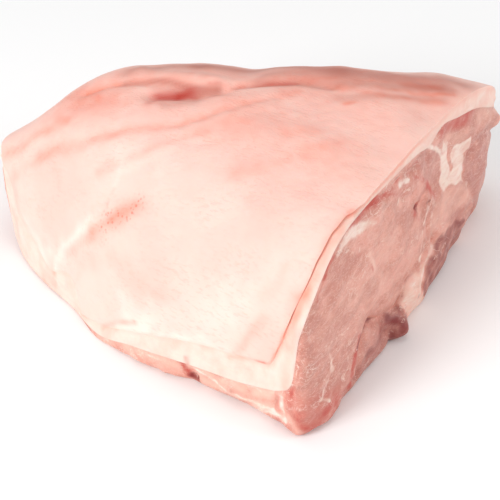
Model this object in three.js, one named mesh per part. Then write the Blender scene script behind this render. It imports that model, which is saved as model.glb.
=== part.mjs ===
// Pork rump roast: a thick wedge of lean under a cap of fat and rind.
// Millimetres, Z up, the underside lies flat at z = 0.
// +X is the outward side of the large cut face, which runs along Y.
// The crown is a loft of arched sections along X. Every ring of points runs
// counter-clockwise round the rim, so the rows stack into closed skins.
import * as THREE from 'three';

// Sizes of the whole
const COLUMNS = 128; // points in each ring, a multiple of four
const CENTRE = { x: -38.65, y: 49.3 }; // middle of the plan, becomes the origin
const POLE = { x: -30, y: 42 }; // point of the plan that every column runs to
const SEAM = 0.3; // clearance between the lean and the fat
const FAT_TOP = 9; // thickness of fat and rind at the pole
const RIND_LIP = 0.9; // how far the rind stands out over the trimmed fat
const LIP_DROP = 1.6; // depth of the rind's cut edge
const LIP_SHARE = 1 / 3; // most of the cut fat's height that this edge takes up
const FOOT_RADIUS = 4; // rounding of the wall where it meets the table
const WALL_SWELL = 1.5; // outward belly of the wall
const BELLY_HEIGHT = 40; // walls lower than this have less belly
const FOOT_HEIGHT = 70; // height over which the foot's flare fades out
const HEEL_LIMIT = 3; // sharpest rounding of the back shoulder

// Rows of points
const CROWN_INNER = 0.7; // share of each ray covered by the middle grid
const CROWN_ROWS = 9;
const WALL_ROWS = 9;
const PROFILE_STEPS = 160; // samples along a ray when rows are spaced
const TANGENT_STEP = 0.5; // mm either side of a place that give the rim's direction
const BED_ROWS = [2, 5]; // crown rows that the bed has a row of its own under
const WALL_CROWDING = 0.9; // below 1, the wall's rows crowd less towards its foot

// Search for the place where the crown meets the rind's height
const REACH_FROM = 0.6; // share of the ray the search starts at
const REACH_HALVINGS = 40;

// How the folds fade
const FOLD_FADE = 6; // steepness of their fade at the rim
const BED_FOLD = 0.5; // share of them that the bed follows
const BED_RISE = 1.2; // how far above the pole the bed may go, in rises of the bed

// Arched sections of the crown: feet, ridge line, height, roundness, droop
const SECTIONS = [
  { x: -150, front: 0, back: 47, ridge: 10, high: 50.5, nose: 3.9, heel: 2.4, droop: 0.16 },
  { x: -138, front: -5, back: 60, ridge: 18, high: 59, nose: 3.4, heel: 2.4, droop: 0.14 },
  { x: -118, front: -18, back: 87, ridge: 33, high: 76, nose: 2.7, heel: 2.5, droop: 0.15 },
  { x: -88, front: -31, back: 112, ridge: 42, high: 88, nose: 2.6, heel: 2.4, droop: 0.16 },
  { x: -60, front: -43, back: 130, ridge: 42, high: 93, nose: 2.6, heel: 2.4, droop: 0.16 },
  { x: -30, front: -50, back: 143, ridge: 38, high: 95, nose: 2.7, heel: 2.6, droop: 0.14 },
  { x: 0, front: -52, back: 152, ridge: 30, high: 96, nose: 2.8, heel: 3.2, droop: 0.12 },
  { x: 30, front: -54, back: 158, ridge: 24, high: 96, nose: 3.2, heel: 5.0, droop: 0.1 },
  { x: 62, front: -56, back: 158.5, ridge: 16, high: 95.8, nose: 3.5, heel: 10, droop: 0.16 },
];

// Rim stations from the front corner, counter-clockwise. rind is the height
// where the rind ends, or null where the cut goes right through it. lean is
// the height where lean meets fat, below zero when measured down from the
// rind. foot is how far the foot stands in, fat the fat's thickness there.
const RIM = [
  { x: 57.5, y: -58, rind: 63.5, lean: 57.5, foot: -1.5, fat: 6 },
  { x: 59, y: -50, rind: 75.5, lean: 71, foot: -4, fat: 4 },
  { x: 59, y: -40, rind: 85, lean: 80, foot: -6.5, fat: 3 },
  { x: 59, y: -26, rind: 92, lean: -3.3, foot: -7, fat: 2.5 },
  { x: 59, y: -13, rind: 94.7, lean: -3.1, foot: -6.6, fat: 2.5 },
  { x: 59, y: 0, rind: null, lean: -3.6, foot: -6, fat: 2.5 },
  { x: 59, y: 30, rind: null, lean: -5.6, foot: -7, fat: 2.5 },
  { x: 59, y: 54, rind: null, lean: -7.2, foot: -7.5, fat: 3 },
  { x: 59, y: 67, rind: null, lean: -9.6, foot: -5.5, fat: 3.5 },
  { x: 59, y: 80, rind: null, lean: -5.4, foot: -3.2, fat: 4 },
  { x: 59, y: 100, rind: null, lean: -9.3, foot: -3, fat: 5 },
  { x: 60, y: 118, rind: null, lean: -11, foot: 1, fat: 6 },
  { x: 60.5, y: 135, rind: null, lean: -13, foot: 3, fat: 8 },
  { x: 58.2, y: 148.5, rind: null, lean: -8, foot: 9, fat: 9 },
  { x: 51.5, y: 156, rind: 52, lean: 41, foot: 13, fat: 10 },
  { x: 20, y: 156, rind: 30, lean: 18, foot: 9, fat: 10 },
  { x: -30, y: 144, rind: 24, lean: 14, foot: 3, fat: 10 },
  { x: -80, y: 118, rind: 24, lean: 14, foot: 3, fat: 10 },
  { x: -116, y: 91, rind: 26, lean: 15, foot: 3, fat: 10 },
  { x: -137, y: 64, rind: 28, lean: 17.5, foot: 3, fat: 10 },
  { x: -144.4, y: 49, rind: null, lean: -7, foot: 3, fat: 8 },
  { x: -148.3, y: 27, rind: null, lean: -10, foot: 8, fat: 8 },
  { x: -144.8, y: 3.2, rind: null, lean: -9, foot: 10, fat: 8 },
  { x: -134.2, y: -5, rind: 8, lean: 5, foot: 7, fat: 8 },
  { x: -124, y: -13, rind: 3, lean: 1.4, foot: 2, fat: 8 },
  { x: -103, y: -24.5, rind: 2.2, lean: 1.0, foot: 1, fat: 10 },
  { x: -82.3, y: -32.9, rind: 2.4, lean: 1.1, foot: 1, fat: 10 },
  { x: -59.5, y: -44.9, rind: 7, lean: 2, foot: -1, fat: 12 },
  { x: -34, y: -50.7, rind: 17, lean: 8.5, foot: -1, fat: 12 },
  { x: 0, y: -53.5, rind: 26, lean: 13.3, foot: 1.2, fat: 12 },
  { x: 25, y: -55.5, rind: 30, lean: 16.3, foot: 4.5, fat: 12 },
  { x: 41, y: -56.5, rind: 32, lean: 19.5, foot: 1.5, fat: 12 },
  { x: 49, y: -58, rind: 46, lean: 23.5, foot: 2, fat: 12 },
  { x: 55, y: -59.5, rind: 56.5, lean: 31, foot: 1, fat: 10 },
];

// How closely the columns stand on each stretch, by the station it starts at
const SPACING = [
  { from: 0, weight: 3 },
  { from: 1, weight: 2 },
  { from: 14, weight: 1 },
  { from: 26, weight: 1.5 },
  { from: 31, weight: 3 },
];
const SPACING_BLUR = 12; // mm over which the spacing changes

// Folds and swells of the crown: middle, half sizes, turn in degrees, height
const CROWN_FOLDS = [
  { x: -110, y: 46, long: 24, wide: 14, turn: 30, rise: 2.6 },
  { x: -46, y: 82, long: 24, wide: 10, turn: 100, rise: -2 },
  { x: -2, y: 92, long: 36, wide: 22, turn: 30, rise: 4 },
  { x: 18, y: -20, long: 30, wide: 14, turn: 10, rise: 0.8 },
];

// Creases of the crown, as lines on the plan
const CROWN_CREASES = [
  { line: [[-72, 33], [-62, 36], [-52, 40], [-43, 48]], wide: 5.2, rise: -3.7 },
  { line: [[-110, 29], [-98, 36], [-84, 40], [-66, 42], [-53, 43]], wide: 2.6, rise: -1.3 },
  { line: [[-90, 50], [-68, 50], [-50, 52]], wide: 6.5, rise: 2.4 },
  { line: [[-38, 55], [-30, 63], [-15, 71], [2, 76]], wide: 3.6, rise: -2.0 },
  { line: [[-57, 10], [-45, 16], [-38, 25], [-30, 35], [-16, 53]], wide: 3, rise: -0.9 },
  { line: [[-140, -4], [-117, -4], [-90, -3], [-70, 5]], wide: 3.5, rise: -0.9 },
  { line: [[-68, -30], [-78, -31], [-86, -29], [-92, -28]], wide: 2.6, rise: 3 },
  { line: [[-94, -27], [-97, -27]], wide: 1.6, rise: -4 },
  { line: [[-105, -21], [-103, -24]], wide: 3.5, rise: 5 },
];

// Swells (+) and hollows (-) of the walls: middle, half sizes, depth
const WALL_SWELLS = [
  { x: 62, y: 0, z: 45, sx: 30, sy: 40, sz: 28, out: 2.5 },
  { x: 61, y: 122, z: 38, sx: 30, sy: 17, sz: 24, out: 3 },
  { x: 60, y: 148, z: 54, sx: 14, sy: 9, sz: 6.5, out: 4.3 },
  { x: 61, y: 82, z: 62, sx: 20, sy: 17, sz: 14, out: -3.2 },
  { x: 61, y: 60, z: 55, sx: 20, sy: 6, sz: 6, out: -3.5 },
  { x: 62, y: 78, z: 13, sx: 20, sy: 17, sz: 9, out: 3.5 },
  { x: 66, y: 44, z: 15, sx: 20, sy: 9, sz: 9, out: 1.8 },
  { x: 67, y: 27, z: 6, sx: 14, sy: 6.5, sz: 7.5, out: 7 },
  { x: 66, y: 3, z: 14, sx: 14, sy: 8, sz: 9, out: 2.2 },
  { x: 62, y: -42, z: 12, sx: 14, sy: 14, sz: 14, out: 1.6 },
  { x: -3, y: -53, z: 6, sx: 8, sy: 12, sz: 6, out: -2.6 },
  { x: 32, y: -56, z: 6, sx: 16, sy: 12, sz: 6, out: 1.2 },
  { x: -143, y: 28, z: 28, sx: 16, sy: 24, sz: 18, out: 2.5 },
  { x: -20, y: 148, z: 8, sx: 60, sy: 12, sz: 8, out: 1.5 },
];

// Seams between the muscles: grooves along lines, with width and depth
const WALL_SEAMS = [
  { line: [[58, 66, 48], [60, 65, 41], [60, 63, 33], [62, 61, 25], [65, 47, 26], [64, 38, 24],
    [65, 30, 19]], wide: 2.6, deep: 3.2 },
  { line: [[59, 64, 82], [57, 72, 59], [60, 68, 49]], wide: 2.2, deep: 1.6 },
  { line: [[65, 31, 18], [65, 24, 17], [64, 11, 20], [64, -3, 29], [64, -8, 25], [64, -12, 17],
    [64, -15, 7]], wide: 2.4, deep: 3.4 },
  { line: [[59, -15, 91], [59, 0, 91], [59, 14, 88], [59, 36, 85], [60, 52, 81]], wide: 2.2, deep: 2.2 },
  { line: [[62, 71, 26], [63, 66, 20], [65, 55, 16], [66, 50, 10]], wide: 2.6, deep: 3 },
  { line: [[62, 105, 45], [63, 114, 29], [59, 130, 6]], wide: 2.2, deep: 1.6 },
  { line: [[67, 19, 8], [67, 19, 0]], wide: 2.4, deep: 2.6 },
  { line: [[61, 51, 60], [61, 53, 58]], wide: 1.8, deep: 2.6 },
  { line: [[60, 68, 51], [60, 68, 49]], wide: 1.5, deep: 1.8 },
  { line: [[64, -37, 30], [64, -47, 18]], wide: 2.0, deep: 0.9 },
  { line: [[-144, 6, 30], [-143, 30, 14], [-142, 52, 24]], wide: 4, deep: 2 },
  { line: [[-1, -53, 10], [0, -53, 4]], wide: 1.6, deep: 1.6 },
  { line: [[56, 154, 44], [60, 147, 46], [63, 134, 54], [62, 122, 57], [61, 112, 53]], wide: 2.6,
    deep: 2.6 },
];
const SPLAY_POWER = 1.3; // the wall's foot flares out with this power of its depth
const SEAM_FADE = 5; // mm below the fat over which the walls' relief fades in

const clamp = (value, low, high) => Math.min(Math.max(value, low), high);
const mix = (a, b, share) => a + (b - a) * share;

// Slope of the monotone cubic at a knot, from the stretches either side
function kneeSlope(before, after, lengthBefore, lengthAfter) {
  if (before * after <= 0) return 0;
  const weightBefore = 2 * lengthAfter + lengthBefore;
  const weightAfter = lengthAfter + 2 * lengthBefore;
  return (weightBefore + weightAfter) / (weightBefore / before + weightAfter / after);
}

// Slope that leans towards the nearer neighbour, for smooth plan curves
function smoothSlope(before, after, lengthBefore, lengthAfter) {
  return (before * lengthAfter + after * lengthBefore) / (lengthBefore + lengthAfter);
}

function hermite(v0, v1, m0, m1, length, t) {
  const s = 1 - t;
  const ends = v0 * (1 + 2 * t) * s * s + v1 * t * t * (3 - 2 * t);
  return ends + m0 * length * t * s * s + m1 * length * t * t * (t - 1);
}

// Curve through values at open knots
function openCurve(knots, values) {
  const last = knots.length - 1;
  const rise = (i) => (values[i + 1] - values[i]) / (knots[i + 1] - knots[i]);
  const slopes = values.map((_, i) => {
    if (i === 0) return rise(0);
    if (i === last) return rise(last - 1);
    const before = knots[i] - knots[i - 1];
    return kneeSlope(rise(i - 1), rise(i), before, knots[i + 1] - knots[i]);
  });
  return (place) => {
    const p = clamp(place, knots[0], knots[last]);
    let i = 0;
    while (i < last - 1 && p >= knots[i + 1]) i += 1;
    const length = knots[i + 1] - knots[i];
    const t = (p - knots[i]) / length;
    return hermite(values[i], values[i + 1], slopes[i], slopes[i + 1], length, t);
  };
}

// Closed curve through values at knots; the last knot closes on the first
function closedCurve(knots, values, slopeRule) {
  const count = values.length;
  const loop = knots[count];
  const lengthOf = (i) => knots[i + 1] - knots[i];
  const rise = (i) => (values[(i + 1) % count] - values[i]) / lengthOf(i);
  const slopes = values.map((_, i) => {
    const before = (i + count - 1) % count;
    return slopeRule(rise(before), rise(i), lengthOf(before), lengthOf(i));
  });
  return (place) => {
    const p = ((place % loop) + loop) % loop;
    let i = 0;
    while (i < count - 1 && p >= knots[i + 1]) i += 1;
    const t = (p - knots[i]) / lengthOf(i);
    const j = (i + 1) % count;
    return hermite(values[i], values[j], slopes[i], slopes[j], lengthOf(i), t);
  };
}

// ---- the crown ----
const sectionKnots = SECTIONS.map((section) => section.x);
const sectionCurve = (name) => openCurve(sectionKnots, SECTIONS.map((s) => s[name]));
const arch = {
  front: sectionCurve('front'),
  back: sectionCurve('back'),
  ridge: sectionCurve('ridge'),
  high: sectionCurve('high'),
  nose: sectionCurve('nose'),
  heel: sectionCurve('heel'),
  droop: sectionCurve('droop'),
};

// Height of the smooth crown over a point of the plan
function smoothCrown(x, y) {
  const ridge = arch.ridge(x);
  if (y < ridge) {
    const out = clamp((ridge - y) / (ridge - arch.front(x)), 0, 1);
    const nose = arch.nose(x);
    return arch.high(x) * (1 - out ** nose) ** (1 / nose);
  }
  const out = clamp((y - ridge) / (arch.back(x) - ridge), 0, 1);
  const heel = arch.heel(x);
  const slump = 1 - arch.droop(x) * out * out;
  return arch.high(x) * slump * (1 - out ** heel) ** (1 / Math.min(heel, HEEL_LIMIT));
}

// Distance from a point to a line of straight runs, in two or three dimensions
function distanceToLine(point, line) {
  const dot = (p, q) => p.reduce((sum, value, axis) => sum + value * q[axis], 0);
  let nearest = Infinity;
  for (let i = 0; i + 1 < line.length; i += 1) {
    const run = line[i + 1].map((value, axis) => value - line[i][axis]);
    const off = point.map((value, axis) => value - line[i][axis]);
    const share = clamp(dot(off, run) / dot(run, run), 0, 1);
    nearest = Math.min(nearest, Math.hypot(...off.map((value, axis) => value - run[axis] * share)));
  }
  return nearest;
}

// Rise of the folds over a point of the plan
function foldRise(x, y) {
  let rise = 0;
  for (const fold of CROWN_FOLDS) {
    const turn = THREE.MathUtils.degToRad(fold.turn);
    const along = (x - fold.x) * Math.cos(turn) + (y - fold.y) * Math.sin(turn);
    const across = (y - fold.y) * Math.cos(turn) - (x - fold.x) * Math.sin(turn);
    rise += fold.rise * Math.exp(-((along / fold.long) ** 2) - (across / fold.wide) ** 2);
  }
  for (const crease of CROWN_CREASES) {
    rise += crease.rise * Math.exp(-((distanceToLine([x, y], crease.line) / crease.wide) ** 2));
  }
  return rise;
}

// ---- the rim ----
const knots = [0];
RIM.forEach((station, i) => {
  const next = RIM[(i + 1) % RIM.length];
  knots.push(knots[i] + Math.hypot(next.x - station.x, next.y - station.y));
});
const onRay = (x, y, share) => [mix(POLE.x, x, share), mix(POLE.y, y, share)];

// Share of the ray to (x, y) at which the crown has fallen to a height
function reachFor(x, y, height) {
  if (smoothCrown(x, y) >= height) return 1;
  let low = REACH_FROM;
  let high = 1;
  for (let i = 0; i < REACH_HALVINGS; i += 1) {
    const middle = (low + high) / 2;
    if (smoothCrown(...onRay(x, y, middle)) > height) low = middle;
    else high = middle;
  }
  return (low + high) / 2;
}

const rindHeights = RIM.map((s) => s.rind ?? smoothCrown(s.x, s.y));
const leanHeights = RIM.map((s, i) => {
  const edge = smoothCrown(...onRay(s.x, s.y, reachFor(s.x, s.y, rindHeights[i])));
  return s.lean < 0 ? edge + s.lean : s.lean;
});
const trimmed = RIM.map((s) => (s.rind === null ? 0 : 1));
const rim = {
  x: closedCurve(knots, RIM.map((s) => s.x), smoothSlope),
  y: closedCurve(knots, RIM.map((s) => s.y), smoothSlope),
  rind: closedCurve(knots, rindHeights, kneeSlope),
  lean: closedCurve(knots, leanHeights, kneeSlope),
  foot: closedCurve(knots, RIM.map((s) => s.foot), kneeSlope),
  fat: closedCurve(knots, RIM.map((s) => s.fat), kneeSlope),
  trimmed: closedCurve(knots, trimmed, kneeSlope),
};

// Places of the columns round the rim, closer together where it matters
function columnPlaces() {
  const loop = knots[RIM.length];
  const weightAt = (place) => {
    const p = ((place % loop) + loop) % loop;
    return SPACING.reduce((found, s) => (p >= knots[s.from] ? s.weight : found), 1);
  };
  const steps = Math.ceil(loop);
  const totals = [0];
  for (let i = 0; i < steps; i += 1) {
    let weight = 0;
    for (let d = -SPACING_BLUR; d <= SPACING_BLUR; d += 1) {
      weight += weightAt(((i + 0.5) / steps) * loop + d);
    }
    totals.push(totals[i] + weight);
  }
  const places = [];
  let step = 0;
  for (let c = 0; c < COLUMNS; c += 1) {
    const target = (c / COLUMNS) * totals[steps];
    while (totals[step + 1] < target) step += 1;
    const part = (target - totals[step]) / (totals[step + 1] - totals[step]);
    places.push(((step + part) / steps) * loop);
  }
  return places;
}

// Everything the rows need to know about one column
function column(place) {
  const x = rim.x(place);
  const y = rim.y(place);
  const dx = rim.x(place + TANGENT_STEP) - rim.x(place - TANGENT_STEP);
  const dy = rim.y(place + TANGENT_STEP) - rim.y(place - TANGENT_STEP);
  const turn = Math.hypot(dx, dy);
  const trim = clamp(rim.trimmed(place), 0, 1);
  const reach = 1 - (1 - reachFor(x, y, rim.rind(place))) * trim;
  const [rindX, rindY] = onRay(x, y, reach);
  return {
    x,
    y,
    nx: dy / turn,
    ny: -dx / turn,
    trim,
    rindX,
    rindY,
    rindZ: smoothCrown(rindX, rindY),
    lean: rim.lean(place),
    foot: rim.foot(place),
    fat: rim.fat(place),
  };
}
const columns = columnPlaces().map(column);

// Values between columns, for the points of the middle grids
function between(list, place, name) {
  const i = Math.floor(place) % COLUMNS;
  return mix(list[i][name], list[(i + 1) % COLUMNS][name], place - Math.floor(place));
}

// ---- heights of the two skins ----
const POLE_HEIGHT = smoothCrown(POLE.x, POLE.y);

function crownPoint(rindX, rindY, share) {
  const [x, y] = onRay(rindX, rindY, share);
  return [x, y, smoothCrown(x, y) + foldRise(x, y) * Math.min(1, FOLD_FADE * (1 - share))];
}

// The bed is where lean meets fat: the crown again, narrowed by the fat at
// the rim and lowered by the fat at the pole.
function bedPoint(values, share, sunk) {
  const [outX, outY] = onRay(values.rindX, values.rindY, share);
  const rise = (smoothCrown(outX, outY) - values.rindZ) / (POLE_HEIGHT - values.rindZ);
  const top = POLE_HEIGHT - FAT_TOP;
  const inset = (values.fat + sunk) * share;
  const room = Math.hypot(values.rindX - POLE.x, values.rindY - POLE.y);
  const [x, y] = onRay(values.rindX, values.rindY, share - inset / room);
  const folds = foldRise(x, y) * BED_FOLD * (1 - share);
  return [x, y, mix(values.lean, top, clamp(rise, 0, BED_RISE)) + folds - sunk];
}

// ---- relief of the walls ----

function wallRelief(point) {
  let out = 0;
  for (const swell of WALL_SWELLS) {
    const dx = (point[0] - swell.x) / swell.sx;
    const dy = (point[1] - swell.y) / swell.sy;
    const dz = (point[2] - swell.z) / swell.sz;
    out += swell.out * Math.exp(-dx * dx - dy * dy - dz * dz);
  }
  for (const seam of WALL_SEAMS) {
    out -= seam.deep * Math.exp(-((distanceToLine(point, seam.line) / seam.wide) ** 2));
  }
  return out;
}

// Point of the wall at a share of the way down from the fat to the table
function wallPoint(col, top, share) {
  const z = top * (1 - share);
  const splay = (height) => clamp(1 - height / FOOT_HEIGHT, 0, 1) ** SPLAY_POWER;
  const flare = (-col.foot * (splay(z) - splay(top))) / (1 - splay(top));
  const swell = WALL_SWELL * Math.sin(Math.PI * share) * clamp(top / BELLY_HEIGHT, 0, 1);
  const radius = Math.min(FOOT_RADIUS, top / 2);
  const below = Math.max(radius - z, 0);
  const tuck = radius - Math.sqrt(radius * radius - below * below);
  const base = flare + swell;
  const at = [col.x + col.nx * base, col.y + col.ny * base, z];
  const relief = wallRelief(at) * clamp((top - z) / SEAM_FADE, 0, 1);
  return [at[0] + col.nx * (relief - tuck), at[1] + col.ny * (relief - tuck), z];
}

// ---- skins ----
class Skin {
  constructor() {
    this.points = [];
    this.triangles = [];
    this.alike = false; // true while every quad is split along its first diagonal
  }

  add(point) {
    this.points.push(point[0] - CENTRE.x, point[1] - CENTRE.y, point[2]);
    return this.points.length / 3 - 1;
  }

  vertex(id) {
    return new THREE.Vector3().fromArray(this.points, id * 3);
  }

  area(a, b, c) {
    const corner = this.vertex(a);
    const side = this.vertex(b).sub(corner);
    return side.cross(this.vertex(c).sub(corner)).length();
  }

  triangle(a, b, c, flip) {
    if (flip) this.triangles.push(a, c, b);
    else this.triangles.push(a, b, c);
  }

  // Two triangles, split so that the smaller one is as large as it can be
  quad(a, b, c, d, flip) {
    const one = Math.min(this.area(a, b, c), this.area(a, c, d));
    const other = Math.min(this.area(a, b, d), this.area(b, c, d));
    if (this.alike || one >= other) {
      this.triangle(a, b, c, flip);
      this.triangle(a, c, d, flip);
    } else {
      this.triangle(a, b, d, flip);
      this.triangle(b, c, d, flip);
    }
  }

  // Band of quads from an upper ring to a lower one
  band(upper, lower, flip = false) {
    upper.forEach((_, i) => {
      const j = (i + 1) % upper.length;
      this.quad(upper[i], lower[i], lower[j], upper[j], flip);
    });
  }

  ring(makePoint) {
    return columns.map((col, i) => this.add(makePoint(col, i)));
  }

  // Square grid over the middle whose rim is one ring; returns that ring. The
  // first diagonal of each quad is the one that runs out from the middle.
  grid(makePoint, flip = false) {
    const side = COLUMNS / 4;
    const ids = [];
    for (let b = 0; b <= side; b += 1) {
      for (let a = 0; a <= side; a += 1) ids.push(this.add(makePoint(...rimPlace(a, b, side))));
    }
    const at = (a, b) => ids[b * (side + 1) + a];
    for (let b = 0; b < side; b += 1) {
      for (let a = 0; a < side; a += 1) {
        const corners = [at(a, b), at(a + 1, b), at(a + 1, b + 1), at(a, b + 1)];
        if ((a < side / 2) !== (b < side / 2)) corners.push(corners.shift());
        this.quad(...corners, flip);
      }
    }
    const rimRing = [];
    for (let i = 0; i < side; i += 1) rimRing.push(at(i, 0));
    for (let i = 0; i < side; i += 1) rimRing.push(at(side, i));
    for (let i = 0; i < side; i += 1) rimRing.push(at(side - i, side));
    for (let i = 0; i < side; i += 1) rimRing.push(at(0, side - i));
    return rimRing;
  }

  mesh(name, material) {
    const geometry = new THREE.BufferGeometry();
    geometry.setAttribute('position', new THREE.Float32BufferAttribute(this.points, 3));
    geometry.setIndex(this.triangles);
    geometry.computeVertexNormals();
    const mesh = new THREE.Mesh(geometry, material);
    mesh.name = name;
    return mesh;
  }
}

// Share of the way out and place round the rim of one node of the grid
function rimPlace(a, b, side) {
  const x = (2 * a) / side - 1;
  const y = (2 * b) / side - 1;
  const out = Math.max(Math.abs(x), Math.abs(y));
  if (out === 0) return [0, 0];
  let turn = 3 + (out - y) / (2 * out);
  if (y === -out && x < out) turn = (x + out) / (2 * out);
  else if (x === out && y < out) turn = 1 + (y + out) / (2 * out);
  else if (y === out && x > -out) turn = 2 + (out - x) / (2 * out);
  return [out, turn * side];
}

// Shares of a ray that space its rows evenly along the crown
function rowShares(col) {
  const shares = [];
  const runs = [];
  let before = null;
  for (let i = 0; i <= PROFILE_STEPS; i += 1) {
    const open = 1 - i / PROFILE_STEPS;
    const share = 1 - (1 - CROWN_INNER) * open * open;
    const [x, y] = onRay(col.rindX, col.rindY, share);
    const point = [x, y, smoothCrown(x, y)];
    const step = before ? Math.hypot(...point.map((value, axis) => value - before[axis])) : 0;
    shares.push(share);
    runs.push((runs[i - 1] ?? 0) + step);
    before = point;
  }
  const total = runs[PROFILE_STEPS];
  const rows = [];
  let i = 0;
  for (let row = 1; row <= CROWN_ROWS; row += 1) {
    const target = (total * row) / CROWN_ROWS;
    while (i < PROFILE_STEPS - 1 && runs[i + 1] < target) i += 1;
    const part = clamp((target - runs[i]) / (runs[i + 1] - runs[i]), 0, 1);
    rows.push(mix(shares[i], shares[i + 1], part));
  }
  return rows;
}
const rows = columns.map(rowShares);

// Values of the rim between two columns, gathered for the bed
const BED_NAMES = ['rindX', 'rindY', 'rindZ', 'lean', 'fat'];
function bedValues(place) {
  return Object.fromEntries(BED_NAMES.map((name) => [name, between(columns, place, name)]));
}

// The bed with its rise beside the rim; returns the ring at the wall. Its
// quads are split alike, so that the two beds run side by side.
function addBed(skin, sunk, flip) {
  skin.alike = true;
  const inner = skin.grid((out, place) => bedPoint(bedValues(place), out * CROWN_INNER, sunk), flip);
  const [upper, middle] = BED_ROWS.map((row) =>
    skin.ring((col, i) => bedPoint(col, rows[i][row], sunk)),
  );
  const foot = skin.ring((col) => bedPoint(col, 1, sunk));
  const wall = skin.ring((col) => [col.x, col.y, col.lean - sunk]);
  skin.band(inner, upper, flip);
  skin.band(upper, middle, flip);
  skin.band(middle, foot, flip);
  skin.band(foot, wall, flip);
  skin.alike = false;
  return wall;
}

function buildCap(material) {
  const skin = new Skin();
  let above = skin.grid((out, place) => {
    const values = bedValues(place);
    return crownPoint(values.rindX, values.rindY, out * CROWN_INNER);
  });
  for (let row = 0; row < CROWN_ROWS; row += 1) {
    const ring = skin.ring((col, i) => crownPoint(col.rindX, col.rindY, rows[i][row]));
    skin.band(above, ring);
    above = ring;
  }
  const lip = skin.ring((col) => {
    const tuck = RIND_LIP * col.trim;
    const drop = Math.min(LIP_DROP, (col.rindZ - col.lean) * LIP_SHARE);
    return [col.rindX - col.nx * tuck, col.rindY - col.ny * tuck, col.rindZ - drop];
  });
  skin.band(above, lip);
  const wall = addBed(skin, 0, true);
  skin.band(lip, wall);
  return skin.mesh('fat_cap', material);
}

function buildLean(material) {
  const skin = new Skin();
  let above = addBed(skin, SEAM, false);
  for (let row = 1; row <= WALL_ROWS; row += 1) {
    const share = Math.sin((Math.PI / 2) * (row / WALL_ROWS) ** WALL_CROWDING);
    const ring = skin.ring((col) => wallPoint(col, col.lean - SEAM, share));
    skin.band(above, ring);
    above = ring;
  }
  const middle = skin.add([POLE.x, POLE.y, 0]);
  above.forEach((id, i) => skin.triangle(id, middle, above[(i + 1) % COLUMNS], false));
  return skin.mesh('lean_meat', material);
}

const leanMaterial = new THREE.MeshStandardMaterial({
  name: 'lean_meat',
  color: 0xdca394,
  roughness: 0.42,
  metalness: 0,
});
const capMaterial = new THREE.MeshStandardMaterial({
  name: 'fat_cap',
  color: 0xfbdccf,
  roughness: 0.5,
  metalness: 0,
});

const roast = new THREE.Group();
roast.name = 'pork_rump_roast';
roast.add(buildLean(leanMaterial), buildCap(capMaterial));

export default roast;
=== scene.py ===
"""Pork rump roast: lean meat cut flat under a cap of fat and rind.

Tables are in millimetres, in the frame that has the front corner near
(57, -58) and the cut face along +Y. CENTRE moves them to the row frame.
"""

import math

import bpy
import numpy as np
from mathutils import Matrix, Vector


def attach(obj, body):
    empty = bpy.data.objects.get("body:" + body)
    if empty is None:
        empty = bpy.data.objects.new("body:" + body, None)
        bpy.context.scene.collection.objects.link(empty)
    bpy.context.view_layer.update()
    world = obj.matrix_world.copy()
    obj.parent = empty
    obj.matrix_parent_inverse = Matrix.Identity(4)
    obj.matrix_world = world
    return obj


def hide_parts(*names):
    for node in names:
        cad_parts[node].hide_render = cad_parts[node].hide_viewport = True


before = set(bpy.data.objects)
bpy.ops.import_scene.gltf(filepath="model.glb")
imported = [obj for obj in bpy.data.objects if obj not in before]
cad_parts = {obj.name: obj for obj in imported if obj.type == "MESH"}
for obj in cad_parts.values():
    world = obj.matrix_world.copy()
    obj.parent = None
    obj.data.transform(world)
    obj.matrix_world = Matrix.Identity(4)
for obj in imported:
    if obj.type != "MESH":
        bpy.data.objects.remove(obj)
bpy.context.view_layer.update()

MM = 0.001
CENTRE = np.array([-38.65, 49.3])

# Columns of the meshes run outwards from the pole. Out to CROWN_INNER of
# the way a grid takes their place.
POLE = np.array([-30.0, 42.0])
COLUMNS = 480
CROWN_INNER = 0.7
CROWN_ROWS = 62
WALL_ROWS = 116
EDGE_ROWS = 10
BED_ROWS = 6
SHARP = math.radians(62)

# Fat: depth at the pole, step in and drop below the rind's edge, and how
# deep the pink of the skin goes
FAT_TOP = 9.0
RIND_LIP = 0.9
LIP_DROP = 1.6
SKIN = 1.5
# Under the fat the lean follows this share of the folds, up to this rise
BED_FOLD = 0.5
BED_RISE = 1.2
# Gap between the two pieces
SEAM = 0.06

# The back's curve takes no higher root than this, however square its heel
HEEL_LIMIT = 3
# Folds and relief of the rind fade towards its edge, the relief down to
# EDGE_RELIEF of itself. It starts above RELIEF_FROM and grows over RELIEF_RUN
FOLD_FADE = 6
RELIEF_FADE = 8
EDGE_RELIEF = 0.35
RELIEF_FROM = 3
RELIEF_RUN = 10

# Wall: it splays below a height and swells less where it is low. Relief and
# grain fade over a depth under its top, and the grain at the foot as well
SPLAY_BELOW = 70
SPLAY_POWER = 1.3
WALL_SWELL = 1.5
SWELL_TALL = 40
FOOT_RADIUS = 4.0
RELIEF_DEPTH = 5
GRAIN_DEPTH = 2
WALL_CROWDING = 0.9
# Mean hollow of the underside, and how sharply it starts at the rim
UNDERSIDE_HOLLOW = 0.25
UNDERSIDE_RIM = 12
# The cut face lies at greater x
FACE_FROM = 45

# Search along a ray: lowest share, halvings. Rim: half step of the tangent,
# steps, padding and blur of the columns' spacing. Steps of a ray's profile
REACH_FROM = 0.6
HALVINGS = 40
TANGENT_STEP = 0.5
SPACING_STEPS = 4000
SPACING_PAD = 100
SPACING_BLUR = 141
PROFILE_STEPS = 500

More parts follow.
